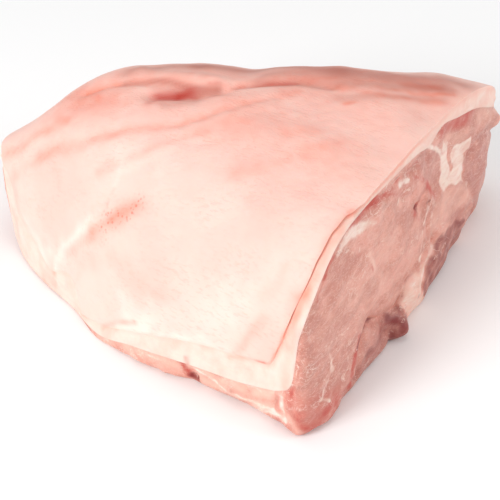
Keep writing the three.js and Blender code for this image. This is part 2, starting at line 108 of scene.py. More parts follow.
# x, y of the front foot, back foot and ridge, height, powers of the front's
# and the back's curve, and share by which the back droops
SECTIONS = np.array([
    (-150, 0, 47, 10, 50.5, 3.9, 2.4, 0.16),
    (-138, -5, 60, 18, 59, 3.4, 2.4, 0.14),
    (-118, -18, 87, 33, 76, 2.7, 2.5, 0.15),
    (-88, -31, 112, 42, 88, 2.6, 2.4, 0.16),
    (-60, -43, 130, 42, 93, 2.6, 2.4, 0.16),
    (-30, -50, 143, 38, 95, 2.7, 2.6, 0.14),
    (0, -52, 152, 30, 96, 2.8, 3.2, 0.12),
    (30, -54, 158, 24, 96, 3.2, 5, 0.1),
    (62, -56, 158.5, 16, 95.8, 3.5, 10, 0.16),
])

# x, y, rind height (0 where the cut goes through it), lean height (below
# zero: down from the rind), how far in the foot lies, fat thickness
RIM = np.array([
    (57.5, -58, 63.5, 57.5, -1.5, 6),
    (59, -50, 75.5, 71, -4, 4),
    (59, -40, 85, 80, -6.5, 3),
    (59, -26, 92, -3.3, -7, 2.5),
    (59, -13, 94.7, -3.1, -6.6, 2.5),
    (59, 0, 0, -3.6, -6, 2.5),
    (59, 30, 0, -5.6, -7, 2.5),
    (59, 54, 0, -7.2, -7.5, 3),
    (59, 67, 0, -9.6, -5.5, 3.5),
    (59, 80, 0, -5.4, -3.2, 4),
    (59, 100, 0, -9.3, -3, 5),
    (60, 118, 0, -11, 1, 6),
    (60.5, 135, 0, -13, 3, 8),
    (58.2, 148.5, 0, -8, 9, 9),
    (51.5, 156, 52, 41, 13, 10),
    (20, 156, 30, 18, 9, 10),
    (-30, 144, 24, 14, 3, 10),
    (-80, 118, 24, 14, 3, 10),
    (-116, 91, 26, 15, 3, 10),
    (-137, 64, 28, 17.5, 3, 10),
    (-144.4, 49, 0, -7, 3, 8),
    (-148.3, 27, 0, -10, 8, 8),
    (-144.8, 3.2, 0, -9, 10, 8),
    (-134.2, -5, 8, 5, 7, 8),
    (-124, -13, 3, 1.4, 2, 8),
    (-103, -24.5, 2.2, 1, 1, 10),
    (-82.3, -32.9, 2.4, 1.1, 1, 10),
    (-59.5, -44.9, 7, 2, -1, 12),
    (-34, -50.7, 17, 8.5, -1, 12),
    (0, -53.5, 26, 13.3, 1.2, 12),
    (25, -55.5, 30, 16.3, 4.5, 12),
    (41, -56.5, 32, 19.5, 1.5, 12),
    (49, -58, 46, 23.5, 2, 12),
    (55, -59.5, 56.5, 31, 1, 10),
])
# Station of RIM, and how densely the columns stand from there on
SPACING = ((0, 3.4), (1, 3), (14, 0.9), (26, 1.6), (31, 3.2))

# x, y, half length, half width, turn in degrees, rise
CROWN_FOLDS = np.array([
    (-110, 46, 24, 14, 30, 2.6),
    (-46, 82, 24, 10, 100, -2),
    (-2, 92, 36, 22, 30, 4),
    (18, -20, 30, 14, 10, 0.8),
])

# line on the plan, width, rise
CROWN_CREASES = (
    (((-72, 33), (-62, 36), (-52, 40), (-43, 48)), 5.2, -3.7),
    (((-110, 29), (-98, 36), (-84, 40), (-66, 42), (-53, 43)), 2.6, -1.3),
    (((-90, 50), (-68, 50), (-50, 52)), 6.5, 2.4),
    (((-38, 55), (-30, 63), (-15, 71), (2, 76)), 3.6, -2),
    (((-57, 10), (-45, 16), (-38, 25), (-30, 35), (-16, 53)), 3, -0.9),
    (((-140, -4), (-117, -4), (-90, -3), (-70, 5)), 3.5, -0.9),
    (((-68, -30), (-78, -31), (-86, -29), (-92, -28)), 2.6, 3),
    (((-94, -27), (-97, -27)), 1.6, -4),
    (((-105, -21), (-103, -24)), 3.5, 5),
)

# Bulges and hollows of the muscles: x, y, z, half sizes, height
WALL_SWELLS = np.array([
    (62, 0, 45, 30, 40, 28, 2.5),
    (61, 122, 38, 30, 17, 24, 3),
    (60, 148, 54, 14, 9, 6.5, 4.3),
    (61, 82, 62, 20, 17, 14, -3.2),
    (61, 60, 55, 20, 6, 6, -3.5),
    (62, 78, 13, 20, 17, 9, 3.5),
    (66, 44, 15, 20, 9, 9, 1.8),
    (67, 27, 6, 14, 6.5, 7.5, 7),
    (66, 3, 14, 14, 8, 9, 2.2),
    (62, -42, 12, 14, 14, 14, 1.6),
    (-3, -53, 6, 8, 12, 6, -2.6),
    (32, -56, 6, 16, 12, 6, 1.2),
    (-143, 28, 28, 16, 24, 18, 2.5),
    (-20, 148, 8, 60, 12, 8, 1.5),
])

# Grooves between the muscles: line, width, depth
WALL_SEAMS = (
    (((58, 66, 48), (60, 65, 41), (60, 63, 33), (62, 61, 25), (65, 47, 26), (64, 38, 24),
      (65, 30, 19)), 2.6, 3.2),
    (((59, 64, 82), (57, 72, 59), (60, 68, 49)), 2.2, 1.6),
    (((65, 31, 18), (65, 24, 17), (64, 11, 20), (64, -3, 29), (64, -8, 25), (64, -12, 17),
      (64, -15, 7)), 2.4, 3.4),
    (((59, -15, 91), (59, 0, 91), (59, 14, 88), (59, 36, 85), (60, 52, 81)), 2.2, 2.2),
    (((62, 71, 26), (63, 66, 20), (65, 55, 16), (66, 50, 10)), 2.6, 3),
    (((62, 105, 45), (63, 114, 29), (59, 130, 6)), 2.2, 1.6),
    (((67, 19, 8), (67, 19, 0)), 2.4, 2.6),
    (((61, 51, 60), (61, 53, 58)), 1.8, 2.6),
    (((60, 68, 51), (60, 68, 49)), 1.5, 1.8),
    (((64, -37, 30), (64, -47, 18)), 2, 0.9),
    (((-144, 6, 30), (-143, 30, 14), (-142, 52, 24)), 4, 2),
    (((-1, -53, 10), (0, -53, 4)), 1.6, 1.6),
    (((56, 154, 44), (60, 147, 46), (63, 134, 54), (62, 122, 57), (61, 112, 53)), 2.6, 2.6),
)

# Raised nub on the cut face: line, width, height
NUB = ((62, -1, 66), (62, 2, 61), (63, 4, 57))
NUB_WIDTH = 1.9
NUB_HEIGHT = 1.1

# Waves that make one random field, and their lengths in lumps
WAVE_COUNT = 28
WAVE_LENGTHS = (1.4, 2.8)
EVEN = (1, 1, 1)
# Layers of fine relief: height, size of the lumps, seed, stretch
RIND_RELIEF = ((0.45, 24, 31, EVEN), (0.16, 9, 32, EVEN), (0.05, 3.5, 33, EVEN))
FAT_RELIEF = ((0.35, 5, 41, (1.6, 1.6, 0.8)), (0.12, 2.2, 42, EVEN))
MEAT_RELIEF = (
    (0.5, 13, 12, EVEN),
    (0.24, 6, 13, EVEN),
    (0.13, 3.2, 14, (1, 1.9, 1)),
    (0.06, 1.9, 15, (1, 1.9, 1)),
)
UNDERSIDE_RELIEF = ((0.25, 12, 51, EVEN),)
# Uneven strength of the pink on the rind, in the same form
MOTTLE = ((0.1, 4, 62, EVEN), (0.14, 11, 63, (2.4, 1, 1)))
MOTTLE_RANGE = (0.5, 1.4)

# Broad pink areas of the rind: middle, half sizes, strength
FLUSH = (
    ((-105, 24, 78), (34, 18, 24), 0.48),
    ((-64, 56, 92), (44, 24, 24), 0.36),
    ((0, 96, 90), (64, 34, 34), 0.42),
    ((14, 26, 96), (44, 30, 30), 0.22),
    ((-28, 26, 94), (30, 18, 30), 0.18),
    ((34, 12, 96), (24, 18, 24), 0.14),
    ((-60, 122, 60), (50, 20, 24), 0.28),
    ((20, 150, 60), (40, 16, 24), 0.32),
)

# Strokes of colour on the rind: line, width, strength. Pink streaks
BLUSH = (
    (((-141, 1, 50), (-134, 1, 55), (-126, 3, 62), (-117, 6, 70), (-108, 10, 76)), 3.4, 0.42),
    (((-140, -3, 36), (-133, -5, 42), (-126, -5, 49), (-117, -5, 58), (-107, -4, 67)), 3.6, 0.3),
    (((-113, -4, 62), (-103, -4, 70), (-90, -4, 77), (-78, 1, 84), (-66, 6, 88), (-56, 10, 90)), 3.4, 0.36),
    (((-73, -15, 74), (-66, -12, 78), (-54, -6, 86), (-45, 3, 90), (-32, 14, 93)), 3, 0.2),
    (((-57, 10, 90), (-45, 16, 92), (-35, 30, 94), (-24, 43, 96), (-10, 62, 95)), 3.2, 0.36),
    (((-109, 29, 81), (-98, 36, 85), (-84, 41, 90), (-70, 42, 94), (-58, 43, 94)), 2.8, 0.4),
    (((-38, 55, 93), (-24, 67, 92), (-10, 75, 93), (9, 78, 93)), 3.2, 0.45),
    (((5, 77, 93), (23, 78, 96), (35, 83, 95), (52, 92, 91)), 3, 0.4),
    (((19, 83, 95), (32, 89, 94), (45, 96, 92), (54, 103, 90)), 2.2, 0.45),
    (((-19, 73, 94), (-6, 80, 94), (12, 87, 95), (29, 96, 93), (46, 104, 91)), 2.4, 0.42),
    (((-128, -8, 39), (-128, -9, 31), (-126, -10, 26)), 3.4, 0.16),
    (((-101, -10, 63), (-98, -15, 58)), 4, 0.1),
    (((-27, 25, 95), (-18, 26, 96)), 4, 0.16),
    (((3, 29, 96), (12, 34, 97)), 4.5, 0.2),
    (((-3, -6, 93), (5, -2, 95), (15, 11, 96), (20, 20, 96)), 4.5, 0.2),
    (((20, 20, 96), (26, 26, 97), (30, 36, 96)), 4.5, 0.18),
    (((36, -50, 54), (31, -52, 46), (27, -52, 38), (23, -53, 31)), 2.8, 0.26),
    (((42, -38, 80), (38, -44, 70), (33, -47, 62)), 3.4, 0.15),
    (((-72, -37, 34), (-64, -38, 40)), 5, 0.14),
    (((15, 65, 95), (18, 68, 95)), 1.8, 0.4),
    (((-70, 23, 91), (-67, 26, 90), (-65, 29, 90)), 2.6, 0.45),
    (((-66, -33, 52), (-59, -32, 59), (-53, -30, 66), (-45, -27, 72)), 4.6, 0.4),
    (((-58, -32, 61), (-50, -29, 68)), 2.2, 0.24),
    (((-66, -34, 52), (-71, -34, 46), (-77, -33, 38), (-82, -32, 33)), 2.2, 0.26),
    (((-52, -37, 47), (-40, -43, 44), (-24, -46, 42)), 6, 0.12),
    (((-57, -44, 5), (-51, -45, 11), (-46, -47, 16), (-34, -49, 22)), 1.2, 0.45),
    (((50, -52, 58), (47, -53, 48), (44, -54, 40), (42, -54, 33)), 1.6, 0.6),
    (((57, -8, 94), (56, -17, 93), (56, -24, 91), (55.5, -36, 84), (54.5, -45, 74),
      (51.5, -50, 62)), 2.2, 0.4),
    (((57, -20, 91), (57, -30, 88), (57, -38, 81), (55, -46, 72), (53, -51, 62)), 3, 0.3),
    (((52, -47, 69), (52, -52, 55), (52, -54, 42), (51, -57, 29)), 4.2, 0.36),
    (((40, -54, 32), (34, -54, 31), (24, -52, 28), (18, -52, 26)), 1.1, 0.5),
    (((-61, -21, 72), (-62, -28, 63), (-67, -30, 58), (-75, -30, 50)), 0.7, 0.16),
    (((-94, -27, 22), (-95, -27, 14), (-97, -27, 6)), 0.8, 0.5),
    (((-102, -24, 3), (-100, -25, 1)), 3, 0.25),
    (((-90, -30, 15), (-88, -31, 14)), 0.9, 0.4),
    (((-110, 84, 62), (-90, 100, 66), (-60, 116, 70)), 3.6, 0.3),
    (((-70, 104, 78), (-40, 124, 74), (-8, 136, 76)), 3, 0.26),
    (((0, 148, 62), (24, 152, 70), (44, 152, 74)), 3, 0.3),
)
# Paler places; the strokes along the fold's raised ridge and along the raised crease on the front are painted
# highlights
CREAM_AND_HIGHLIGHT = (
    (((-68, -30, 57), (-78, -31, 45), (-86, -29, 35), (-90, -29, 27), (-93, -28, 15)), 2.4, 0.7),
    (((-110, -19, 12), (-118, -14, 14), (-104, -22, 20)), 8, 0.8),
    (((-36, -47, 20), (-12, -51, 20), (14, -52, 22)), 7, 0.6),
    (((-78, 47, 91), (-66, 50, 94), (-56, 50, 95)), 3.6, 0.45),
    (((-66, -6, 80), (-54, -10, 84), (-40, -8, 88)), 7, 0.3),
    (((-50, -46, 6), (-30, -50, 16), (-5, -53, 20), (20, -54, 24)), 6, 0.8),
    (((-34, -47, 26), (-10, -50, 32), (10, -51, 42), (16, -50, 54)), 11, 0.4),
    (((-61, -20, 73), (-63, -11, 80)), 1.2, 0.4),
)
# Painted shade: brownish darkening over the far slope beyond the ridge, in the fold's hollow and along the
# shadow lines under its ridges
RIND_SHADE_STROKES = (
    (((-95, 47, 88), (-87, 53, 89), (-82, 64, 86), (-66, 66, 90)), 5.5, 0.5),
    (((-66, 66, 90), (-53, 73, 88), (-40, 84, 86), (-22, 89, 91), (-2, 92, 93)), 7, 0.62),
    (((-2, 92, 93), (16, 100, 92), (33, 109, 90), (52, 118, 88)), 8, 0.6),
    (((-31, 73, 92), (-18, 80, 93), (-4, 85, 94), (10, 90, 94), (27, 99, 93), (46, 106, 91)), 5.5, 0.42),
    (((-84, 49, 91), (-65, 51, 94), (-57, 52, 96)), 4, 0.16),
    (((-60, 26, 92), (-50, 34, 93)), 4.4, 0.34),
    (((-60, 39, 91), (-52, 43, 91), (-45, 47, 92)), 3.6, 0.6),
    (((-92, 38, 87), (-76, 43, 91), (-67, 44, 92), (-57, 44, 92), (-46, 49, 92)), 2.2, 0.62),
    (((-75, 39, 90), (-63, 41, 92), (-50, 46, 92)), 3, 0.25),
    (((-31, 64, 92), (-13, 72, 93), (5, 80, 94), (23, 87, 95), (38, 99, 92), (52, 105, 91)), 4.6, 0.5),
    (((10, 68, 96), (26, 77, 96), (40, 87, 94), (52, 95, 92)), 4, 0.36),
    (((-16, 60, 96), (2, 68, 96)), 6, 0.12),
)
# Red in the fold's hollow and the creases
STAINS = (
    (((-70, 32, 88), (-65, 36, 89), (-58, 39, 90)), 4.2, 0.9),
    (((-61, 37, 90), (-54, 40, 91)), 3.2, 0.8),
    (((-69, 24, 91), (-70, 30, 89)), 1.6, 0.35),
    (((-64, 25, 91), (-58, 30, 89)), 1.4, 0.2),
    (((-50, 49, 94), (-46, 51, 94)), 1.5, 0.28),
    (((-38, 55, 93), (-32, 62, 92), (-24, 67, 92), (-15, 71, 93)), 1.7, 0.45),
    (((-62, -26, 67), (-62, -26, 66)), 0.9, 0.25),
    (((-97, -27, 6), (-97, -27, 4)), 1.3, 0.5),
    (((34, -54, 31), (38, -54, 32)), 0.7, 0.4),
    (((-4, -53, 16), (-3, -53, 12)), 1.1, 0.55),
)
# Red dots, and where the short wrinkles are strongest
SPECKLE = ((((-62, -33, 56), (-57, -32, 61), (-50, -29, 68), (-45, -27, 72)), 4.2, 1),)
PORES = ((((-22, -47, 36), (-8, -48, 46), (10, -48, 48)), 20, 1),)

# Pink of the skin's cut edge, least and gain. Beside the cut face the gain
# ends at a y, over a run; elsewhere it lies round the corner's x, in a reach
EDGE_BY_FACE = (0.2, 0.4, 70, 20)
EDGE_ELSEWHERE = (0.08, 0.3, 52, 14)
EDGE_FACE_FROM = 50

# Uneven edges of strokes and of outlines: size of the waves, and the shift
# as a share of the stroke's width with its limit, or in millimetres
STROKE_WAVES = 6
STROKE_SHIFT = 0.3
STROKE_SHIFT_LIMIT = 2.5
OUTLINE_WAVES = 5
OUTLINE_SHIFT = 0.5
OUTLINE_SEED = 121

# Strokes of colour on the cut meat: line, width, strength
FAT_AND_GLINTS = (
    (((59, -28, 83), (59, -23, 85), (59, -18, 87)), 1.3, 0.85),
    (((59, -18, 87), (59, -12, 86), (60, -6, 84)), 3.2, 1),
    (((60, -6, 84), (60, 0, 82), (60, 7, 80)), 2.3, 0.8),
    (((59, 35, 81), (59, 40, 81), (59, 44, 79)), 1.7, 0.85),
    (((59, 24, 86), (59, 30, 85), (59, 36, 83), (59, 40, 81)), 0.8, 0.6),
    (((59, 65, 86), (60, 70, 82), (59, 79, 74), (58, 85, 67), (57, 87, 62)), 1.5, 0.9),
    (((60, 51, 79), (60, 55, 74), (60, 59, 70)), 0.7, 0.6),
    (((61, 109, 42), (62, 111, 34), (61, 117, 22)), 1, 0.55),
    (((60, 68, 48), (61, 64, 47), (62, 61, 44)), 1.2, 0.8),
    (((62, 70, 44), (62, 68, 38)), 1, 0.6),
    (((60, 37, 76), (60, 34, 76), (60, 32, 73)), 0.8, 0.6),
    (((62, 58, 41), (63, 58, 36), (63, 55, 31), (63, 55, 25)), 0.8, 0.5),
    (((63, 59, 32), (62, 60, 27), (63, 56, 24)), 1, 0.8),
    (((62, 71, 23), (62, 68, 20), (63, 63, 18), (66, 52, 21)), 1.9, 0.55),
    (((65, 35, 17), (66, 32, 16), (67, 29, 15)), 1.2, 0.75),
    (((64, -42, 42), (64, -38, 33), (64, -38, 27), (65, -41, 26), (65, -45, 24), (65, -50, 18)), 1.1, 0.75),
    (((64, -39, 32), (65, -38, 27)), 1.3, 0.8),
    (((65, -49, 18), (66, -44, 14)), 1.2, 0.7),
    (((54, -60, 16), (58, -60, 19), (60, -60, 18)), 1.2, 0.5),
    # The four tiny marks that follow are painted glints of wet light, drawn in the colour of fat
    (((60, -18, 79), (60, -17, 77)), 0.6, 0.8),
    (((60, -14, 76), (60, -12, 75)), 0.6, 0.8),
    (((60, -7, 71), (60, -6, 73)), 0.6, 0.8),
    (((62, -3, 61), (62, -2, 62)), 0.7, 0.9),
    (((-143, 6, 30), (-143, 30, 14), (-142, 52, 12)), 2, 0.8),
    (((10, 158, 14), (-30, 146, 9), (-70, 123, 8)), 1.2, 0.6),
    (((-95, 109, 9), (-118, 90, 10), (-134, 68, 9)), 1.4, 0.6),
)
RED = (
    (((58, 12, 88), (58, 5, 89), (58, -3, 90), (58, -9, 90), (59, -14, 89)), 3, 1),
    (((59, -30, 85), (59, -33, 84), (59, -35, 83), (59, -39, 79)), 1.5, 0.85),
    (((59, -40, 78), (59, -42, 74), (59, -44, 73), (59, -45, 70)), 1.1, 0.5),
    (((59, 53, 83), (60, 43, 86), (58, 40, 85), (58, 33, 85)), 1.5, 0.6),
    (((59, 28, 85), (59, 21, 86), (59, 15, 87)), 1.6, 0.7),
    (((60, 50, 78), (60, 56, 73), (60, 60, 69)), 1.2, 0.5),
    (((59, 19, 85), (60, 24, 84), (60, 30, 80), (60, 35, 75)), 0.9, 0.4),
    (((60, 65, 64), (59, 70, 59), (59, 72, 55), (60, 75, 51)), 1.5, 0.95),
    (((60, 63, 66), (60, 67, 60)), 1, 0.5),
    (((61, 47, 60), (61, 51, 54), (62, 56, 48)), 1.5, 0.4),
    (((58, 93, 65), (58, 91, 61), (58, 87, 56)), 1.1, 0.5),
    (((59, 97, 57), (60, 96, 54), (60, 93, 52)), 0.8, 0.5),
    (((61, 105, 45), (61, 98, 48), (60, 93, 49)), 0.8, 0.35),
    (((62, 1, 60), (63, 2, 56)), 1, 0.8),
    (((59, 51, 57), (59, 55, 60)), 3, 0.7),
    (((62, 15, 69), (62, 20, 65), (63, 30, 57)), 0.8, 0.35),
    (((62, 10, 54), (62, 16, 49), (64, 20, 46)), 0.7, 0.3),
    (((59, 80, 84), (59, 90, 82), (59, 100, 79), (60, 113, 77)), 4.6, 0.5),
    (((59, 98, 79), (60, 110, 76)), 3, 0.35),
    (((65, -13, 29), (65, -16, 24), (66, -19, 19), (67, -22, 13), (66, -23, 5)), 2.4, 0.85),
    (((57, -58, 36), (55, -59, 27), (54, -59, 20)), 1.8, 0.55),
    (((67, -38, 8), (67, -48, 10), (65, -50, 8), (64, -53, 5)), 3, 0.6),
    (((58, -60, 15), (61, -60, 10), (62, -57, 4)), 2.8, 0.45),
    (((65, 58, 11), (66, 52, 8)), 2, 0.4),
    (((67, 34, 14), (68, 31, 13)), 1.6, 0.6),
    (((-5, -53, 13), (-5, -51, 8), (-3, -51, 4)), 2.3, 0.95),
    (((60, -25, 70), (61, -10, 60)), 9, 0.1),
)
# Dark red of the darker muscles, together with painted shade: the shadow lines under the fat's edge, the
# shade in the seams, slits and holes, and in the notch at the foot of the front
DARK_RED_AND_SHADE = (
    (((59, 12, 90.5), (59, 0, 91.6), (59, -10, 92), (58, -17, 91.6), (58, -26, 91), (59, -32, 88)), 0.8, 0.6),
    (((59, 61, 83), (60, 55, 86), (59, 49, 87), (60, 42, 88), (59, 30, 88), (58, 17, 89)), 1.2, 0.42),
    (((58, 36, 87), (59, 45, 85)), 0.8, 0.45),
    (((58, 66, 48), (60, 65, 41), (60, 63, 33), (62, 61, 26)), 0.9, 0.3),
    (((63, 55, 24), (64, 48, 25), (63, 42, 24), (63, 38, 22), (64, 34, 18)), 0.9, 0.5),
    (((67, 41, 20), (68, 46, 18)), 0.8, 0.5),
    (((69, 44, 14), (69, 44, 12)), 1.1, 0.9),
    (((65, 31, 18), (65, 24, 17), (64, 11, 20), (64, -3, 29), (64, -7, 25)), 1.4, 0.6),
    (((61, 6, 24), (62, -2, 27), (63, -7, 27), (65, -12, 27), (65, -15, 23)), 1.6, 0.75),
    (((64, 28, 22), (64, 23, 17), (64, 20, 15)), 1.8, 0.7),
    (((59, 53, 57), (59, 55, 59)), 1.8, 0.95),
    (((60, 66, 52), (60, 70, 51)), 1, 0.7),
    (((67, 25, 12), (68, 23, 7)), 3, 0.6),
    (((66, 22, 12), (67, 21, 8), (67, 20, 4)), 2.6, 0.5),
    (((64, 16, 14), (66, 6, 14), (66, -3, 12)), 4.6, 0.3),
    (((-2, -50, 3), (2, -50, 3)), 2.5, 1),
    (((-3, -53, 8), (-2, -52, 5)), 1.2, 0.4),
)
PALE = (
    (((63, 19, 62), (64, 8, 46), (63, -20, 55), (63, -38, 50)), 12, 0.3),
    (((62, 0, 65), (62, 2, 61), (63, 4, 56)), 2.2, 0.95),
    (((60, 34, 75), (61, 36, 71)), 1.8, 0.6),
    (((60, 124, 70), (62, 134, 64), (60, 143, 60)), 6, 0.5),
    (((60, 84, 76), (60, 96, 73), (60, 108, 67)), 3.4, 0.6),
    (((53, -60, 12), (55, -60, 7), (59, -60, 3)), 3.2, 0.8),
    (((-56, -45, 3), (-27, -51, 8), (-10, -52, 9)), 5, 0.8),
    (((0, -53, 11), (12, -54, 12), (24, -55, 14), (38, -56, 16), (48, -58, 20)), 3.8, 0.9),
    (((2, -51, 6), (12, -54, 6), (30, -55, 6), (44, -57, 9)), 3.4, 0.95),
    (((50, -58, 21), (49, -58, 11), (51, -58, 5)), 2.4, 0.9),
)

# Fat strands of the trimmed edge under the rind: line, width, strength
STRANDS = (
    (((1, -53, 12), (8, -53, 10), (16, -54, 8), (30, -55, 7), (44, -57, 9)), 1.3, 0.8),
    (((10, -53, 14), (24, -55, 16), (38, -56, 17)), 1, 0.6),
    (((37, -55, 4), (44, -58, 7), (51, -59, 8)), 2, 0.75),
    (((49, -58, 20), (50, -58, 14), (51, -59, 7)), 1.7, 0.7),
    (((12, -54, 5), (24, -55, 4)), 0.9, 0.6),
    (((-60, -44, 2), (-50, -48, 3)), 0.8, 0.6),
    (((-34, -50, 6), (-22, -52, 8), (-10, -52, 10)), 1, 0.5),
    (((-27, -51, 4), (-14, -52, 5)), 0.8, 0.4),
)

# Muscles and fat cut across on the flat face, with painted shade at its low edge and low front corner, as
# outlines of y, z:
# attribute, softness of the edge, strength, outline
AREAS = (
    ("fat", 1.3, 1, ((83, 77), (91, 72), (92.4, 62), (94, 53), (96, 53), (95.8, 62), (98, 66),
        (104, 63), (112, 63), (111, 57), (106, 56), (106, 50), (105, 44), (108, 39),
        (104, 42), (94, 45), (86, 46), (83, 52), (86, 56), (86, 60), (85, 64), (87, 68))),
    ("dusk_and_shade", 1.6, 0.62, ((40, 86), (60, 88), (69, 81), (80, 74), (85, 66), (86, 56), (82, 53), (77, 58),
        (66, 64), (60, 71), (54, 79))),
    ("dusk_and_shade", 1.4, 0.78, ((112, 60), (117, 62), (130, 57), (142, 52), (152, 48), (150, 28), (140, 16),
        (133, 2), (124, 2), (120, 18), (113, 33), (107, 43), (106, 55))),
    ("red", 3, 0.34, ((74, 84), (78, 92), (100, 92), (120, 92), (134, 84), (124, 74), (112, 69), (98, 74),
        (88, 80))),
    ("dusk_and_shade", 2, 0.3, ((74, 86), (78, 92), (100, 92), (146, 92), (147, 56), (130, 57), (112, 62), (94, 71))),
    ("pale", 2, 0.4, ((86, 47), (94, 45), (104, 41), (110, 34), (115, 24), (104, 24), (84, 32), (67, 32),
        (67, 43), (75, 47))),
    ("dusk_and_shade", 3, 0.6, ((84, 30), (104, 26), (117, 24), (122, 6), (106, 12), (96, 20))),
    ("red", 2.4, 0.22, ((20, 86), (44, 84), (54, 80), (62, 70), (72, 60), (82, 53), (86, 47), (75, 47),
        (66, 53), (56, 56), (47, 62), (40, 68), (34, 75))),
    ("dark_red_and_shade", 1.5, 0.64, ((75, 26), (86, 23), (96, 21), (107, 18), (112, 12), (104, -2), (62, -2), (54, 4),
        (54, 11), (59, 15), (66, 18), (71, 22))),
    ("pale", 1.5, 1, ((50, 24), (44, 25), (38, 23), (33, 19), (31, 15), (36, 7), (41, -2), (50, -2),
        (56, 5), (53, 10), (58, 15), (62, 18), (58, 22))),
    ("fat", 2, 0.42, ((50, 23), (44, 24), (39, 22), (34, 18), (38, 8), (42, -2), (50, -2), (55, 5),
        (52, 11), (56, 16), (58, 20))),
    # Dark red muscle along the low edge, darkened further as painted shade of the undercut
    ("dark_red_and_shade", 2, 0.36, ((25, 20), (17, 19), (10, 17), (2, 16), (-8, 13), (-16, 9), (-23, 5),
        (-24, -2), (18, -2), (20, 10))),
    ("dark_red_and_shade", 1.8, 0.64, ((18, -2), (19, 9), (22, 15), (29, 16), (34, 10), (34, -2))),
    # Redder towards the low front corner of the face, then painted shade that darkens it towards the bottom
    ("red", 7, 0.42, ((-62, 30), (-50, 24), (-34, 18), (-22, 8), (-20, -8), (-62, -8))),
    ("dusk_and_shade", 12, 0.3, ((-62, 60), (-30, 50), (0, 34), (10, 20), (0, -10), (-62, -10))),
    ("dusk_and_shade", 2, 0.7, ((22, 17), (12, 19), (4, 20), (-6, 20), (-14, 6), (-12, -2), (18, -2), (19, 10))),
)


# ---- curves
def hermite(v0, v1, m0, m1, h, t):
    """Cubic between two knots that are h apart, with given slopes."""
    s = 1 - t
    return v0 * (1 + 2 * t) * s * s + v1 * t * t * (3 - 2 * t) + h * t * s * (m0 * s - m1 * t)


def monotone_slope(a, b, ha, hb):
    """Slope at a knot that never overshoots the values beside it."""
    w1, w2 = 2 * hb + ha, hb + 2 * ha
    with np.errstate(divide="ignore", invalid="ignore"):
        return np.where(a * b > 0, (w1 + w2) / (w1 / a + w2 / b), 0.0)


def mean_slope(a, b, ha, hb):
    """Slope at a knot that keeps an outline round."""
    return (a * hb + b * ha) / (ha + hb)


def open_curve(knots, values, x):
    """Values at x of a curve through the knots."""
    h = np.diff(knots)
    d = np.diff(values, axis=0) / h[:, None]
    m = np.empty_like(values)
    m[0], m[-1] = d[0], d[-1]
    m[1:-1] = monotone_slope(d[:-1], d[1:], h[:-1, None], h[1:, None])
    x = np.clip(x, knots[0], knots[-1])
    i = np.clip(np.searchsorted(knots, x, side="right") - 1, 0, len(h) - 1)
    t = ((x - knots[i]) / h[i])[:, None]
    return hermite(values[i], values[i + 1], m[i], m[i + 1], h[i][:, None], t)


def closed_curve(knots, values, x, rule):
    """The same for a loop, with the rule that gives its slopes."""
    h = np.diff(knots)[:, None]
    nxt = np.roll(values, -1, axis=0)
    d = (nxt - values) / h
    m = rule(np.roll(d, 1, axis=0), d, np.roll(h, 1, axis=0), h)
    x = np.mod(x, knots[-1])
    i = np.clip(np.searchsorted(knots, x, side="right") - 1, 0, len(h) - 1)
    t = ((x - knots[i]) / h[i, 0])[:, None]
    return hermite(values[i], nxt[i], m[i], np.roll(m, -1, axis=0)[i], h[i], t)


# ---- crown
def crown(p):
    """Height of the smooth crown over plan points."""
    shape = p.shape[:-1]
    x, y = p[..., 0].ravel(), p[..., 1].ravel()
    f, b, r, h, nose, heel, droop = open_curve(SECTIONS[:, 0], SECTIONS[:, 1:], x).T
    out = np.clip(np.where(y < r, (r - y) / (r - f), (y - r) / (b - r)), 0, 1)
    ahead = (1 - out**nose) ** (1 / nose)
    behind = (1 - droop * out**2) * (1 - out**heel) ** (1 / np.minimum(heel, HEEL_LIMIT))
    return (h * np.where(y < r, ahead, behind)).reshape(shape)


def folds(p):
    """Rise of the folds and creases over plan points."""
    rise = np.zeros(p.shape[:-1])
    for x, y, long, wide, turn, height in CROWN_FOLDS:
        c, s = math.cos(math.radians(turn)), math.sin(math.radians(turn))
        u = ((p[..., 0] - x) * c + (p[..., 1] - y) * s) / long
        v = ((p[..., 1] - y) * c - (p[..., 0] - x) * s) / wide
        rise += height * np.exp(-u * u - v * v)
    for line, wide, height in CROWN_CREASES:
        rise += height * np.exp(-((line_distance(p, line) / wide) ** 2))
    return rise


def on_ray(p, share):
    """Plan points at a share of the way from the pole to p."""
    return POLE + np.asarray(share)[..., None] * (p - POLE)


def reach_for(p, height):
    """Share of the ray to p where the crown comes down to a height."""
    low, high = np.full(len(p), REACH_FROM), np.ones(len(p))
    for _ in range(HALVINGS):
        middle = (low + high) / 2
        up = crown(on_ray(p, middle)) > height
        low, high = np.where(up, middle, low), np.where(up, high, middle)
    return np.where(crown(p) >= height, 1.0, (low + high) / 2)


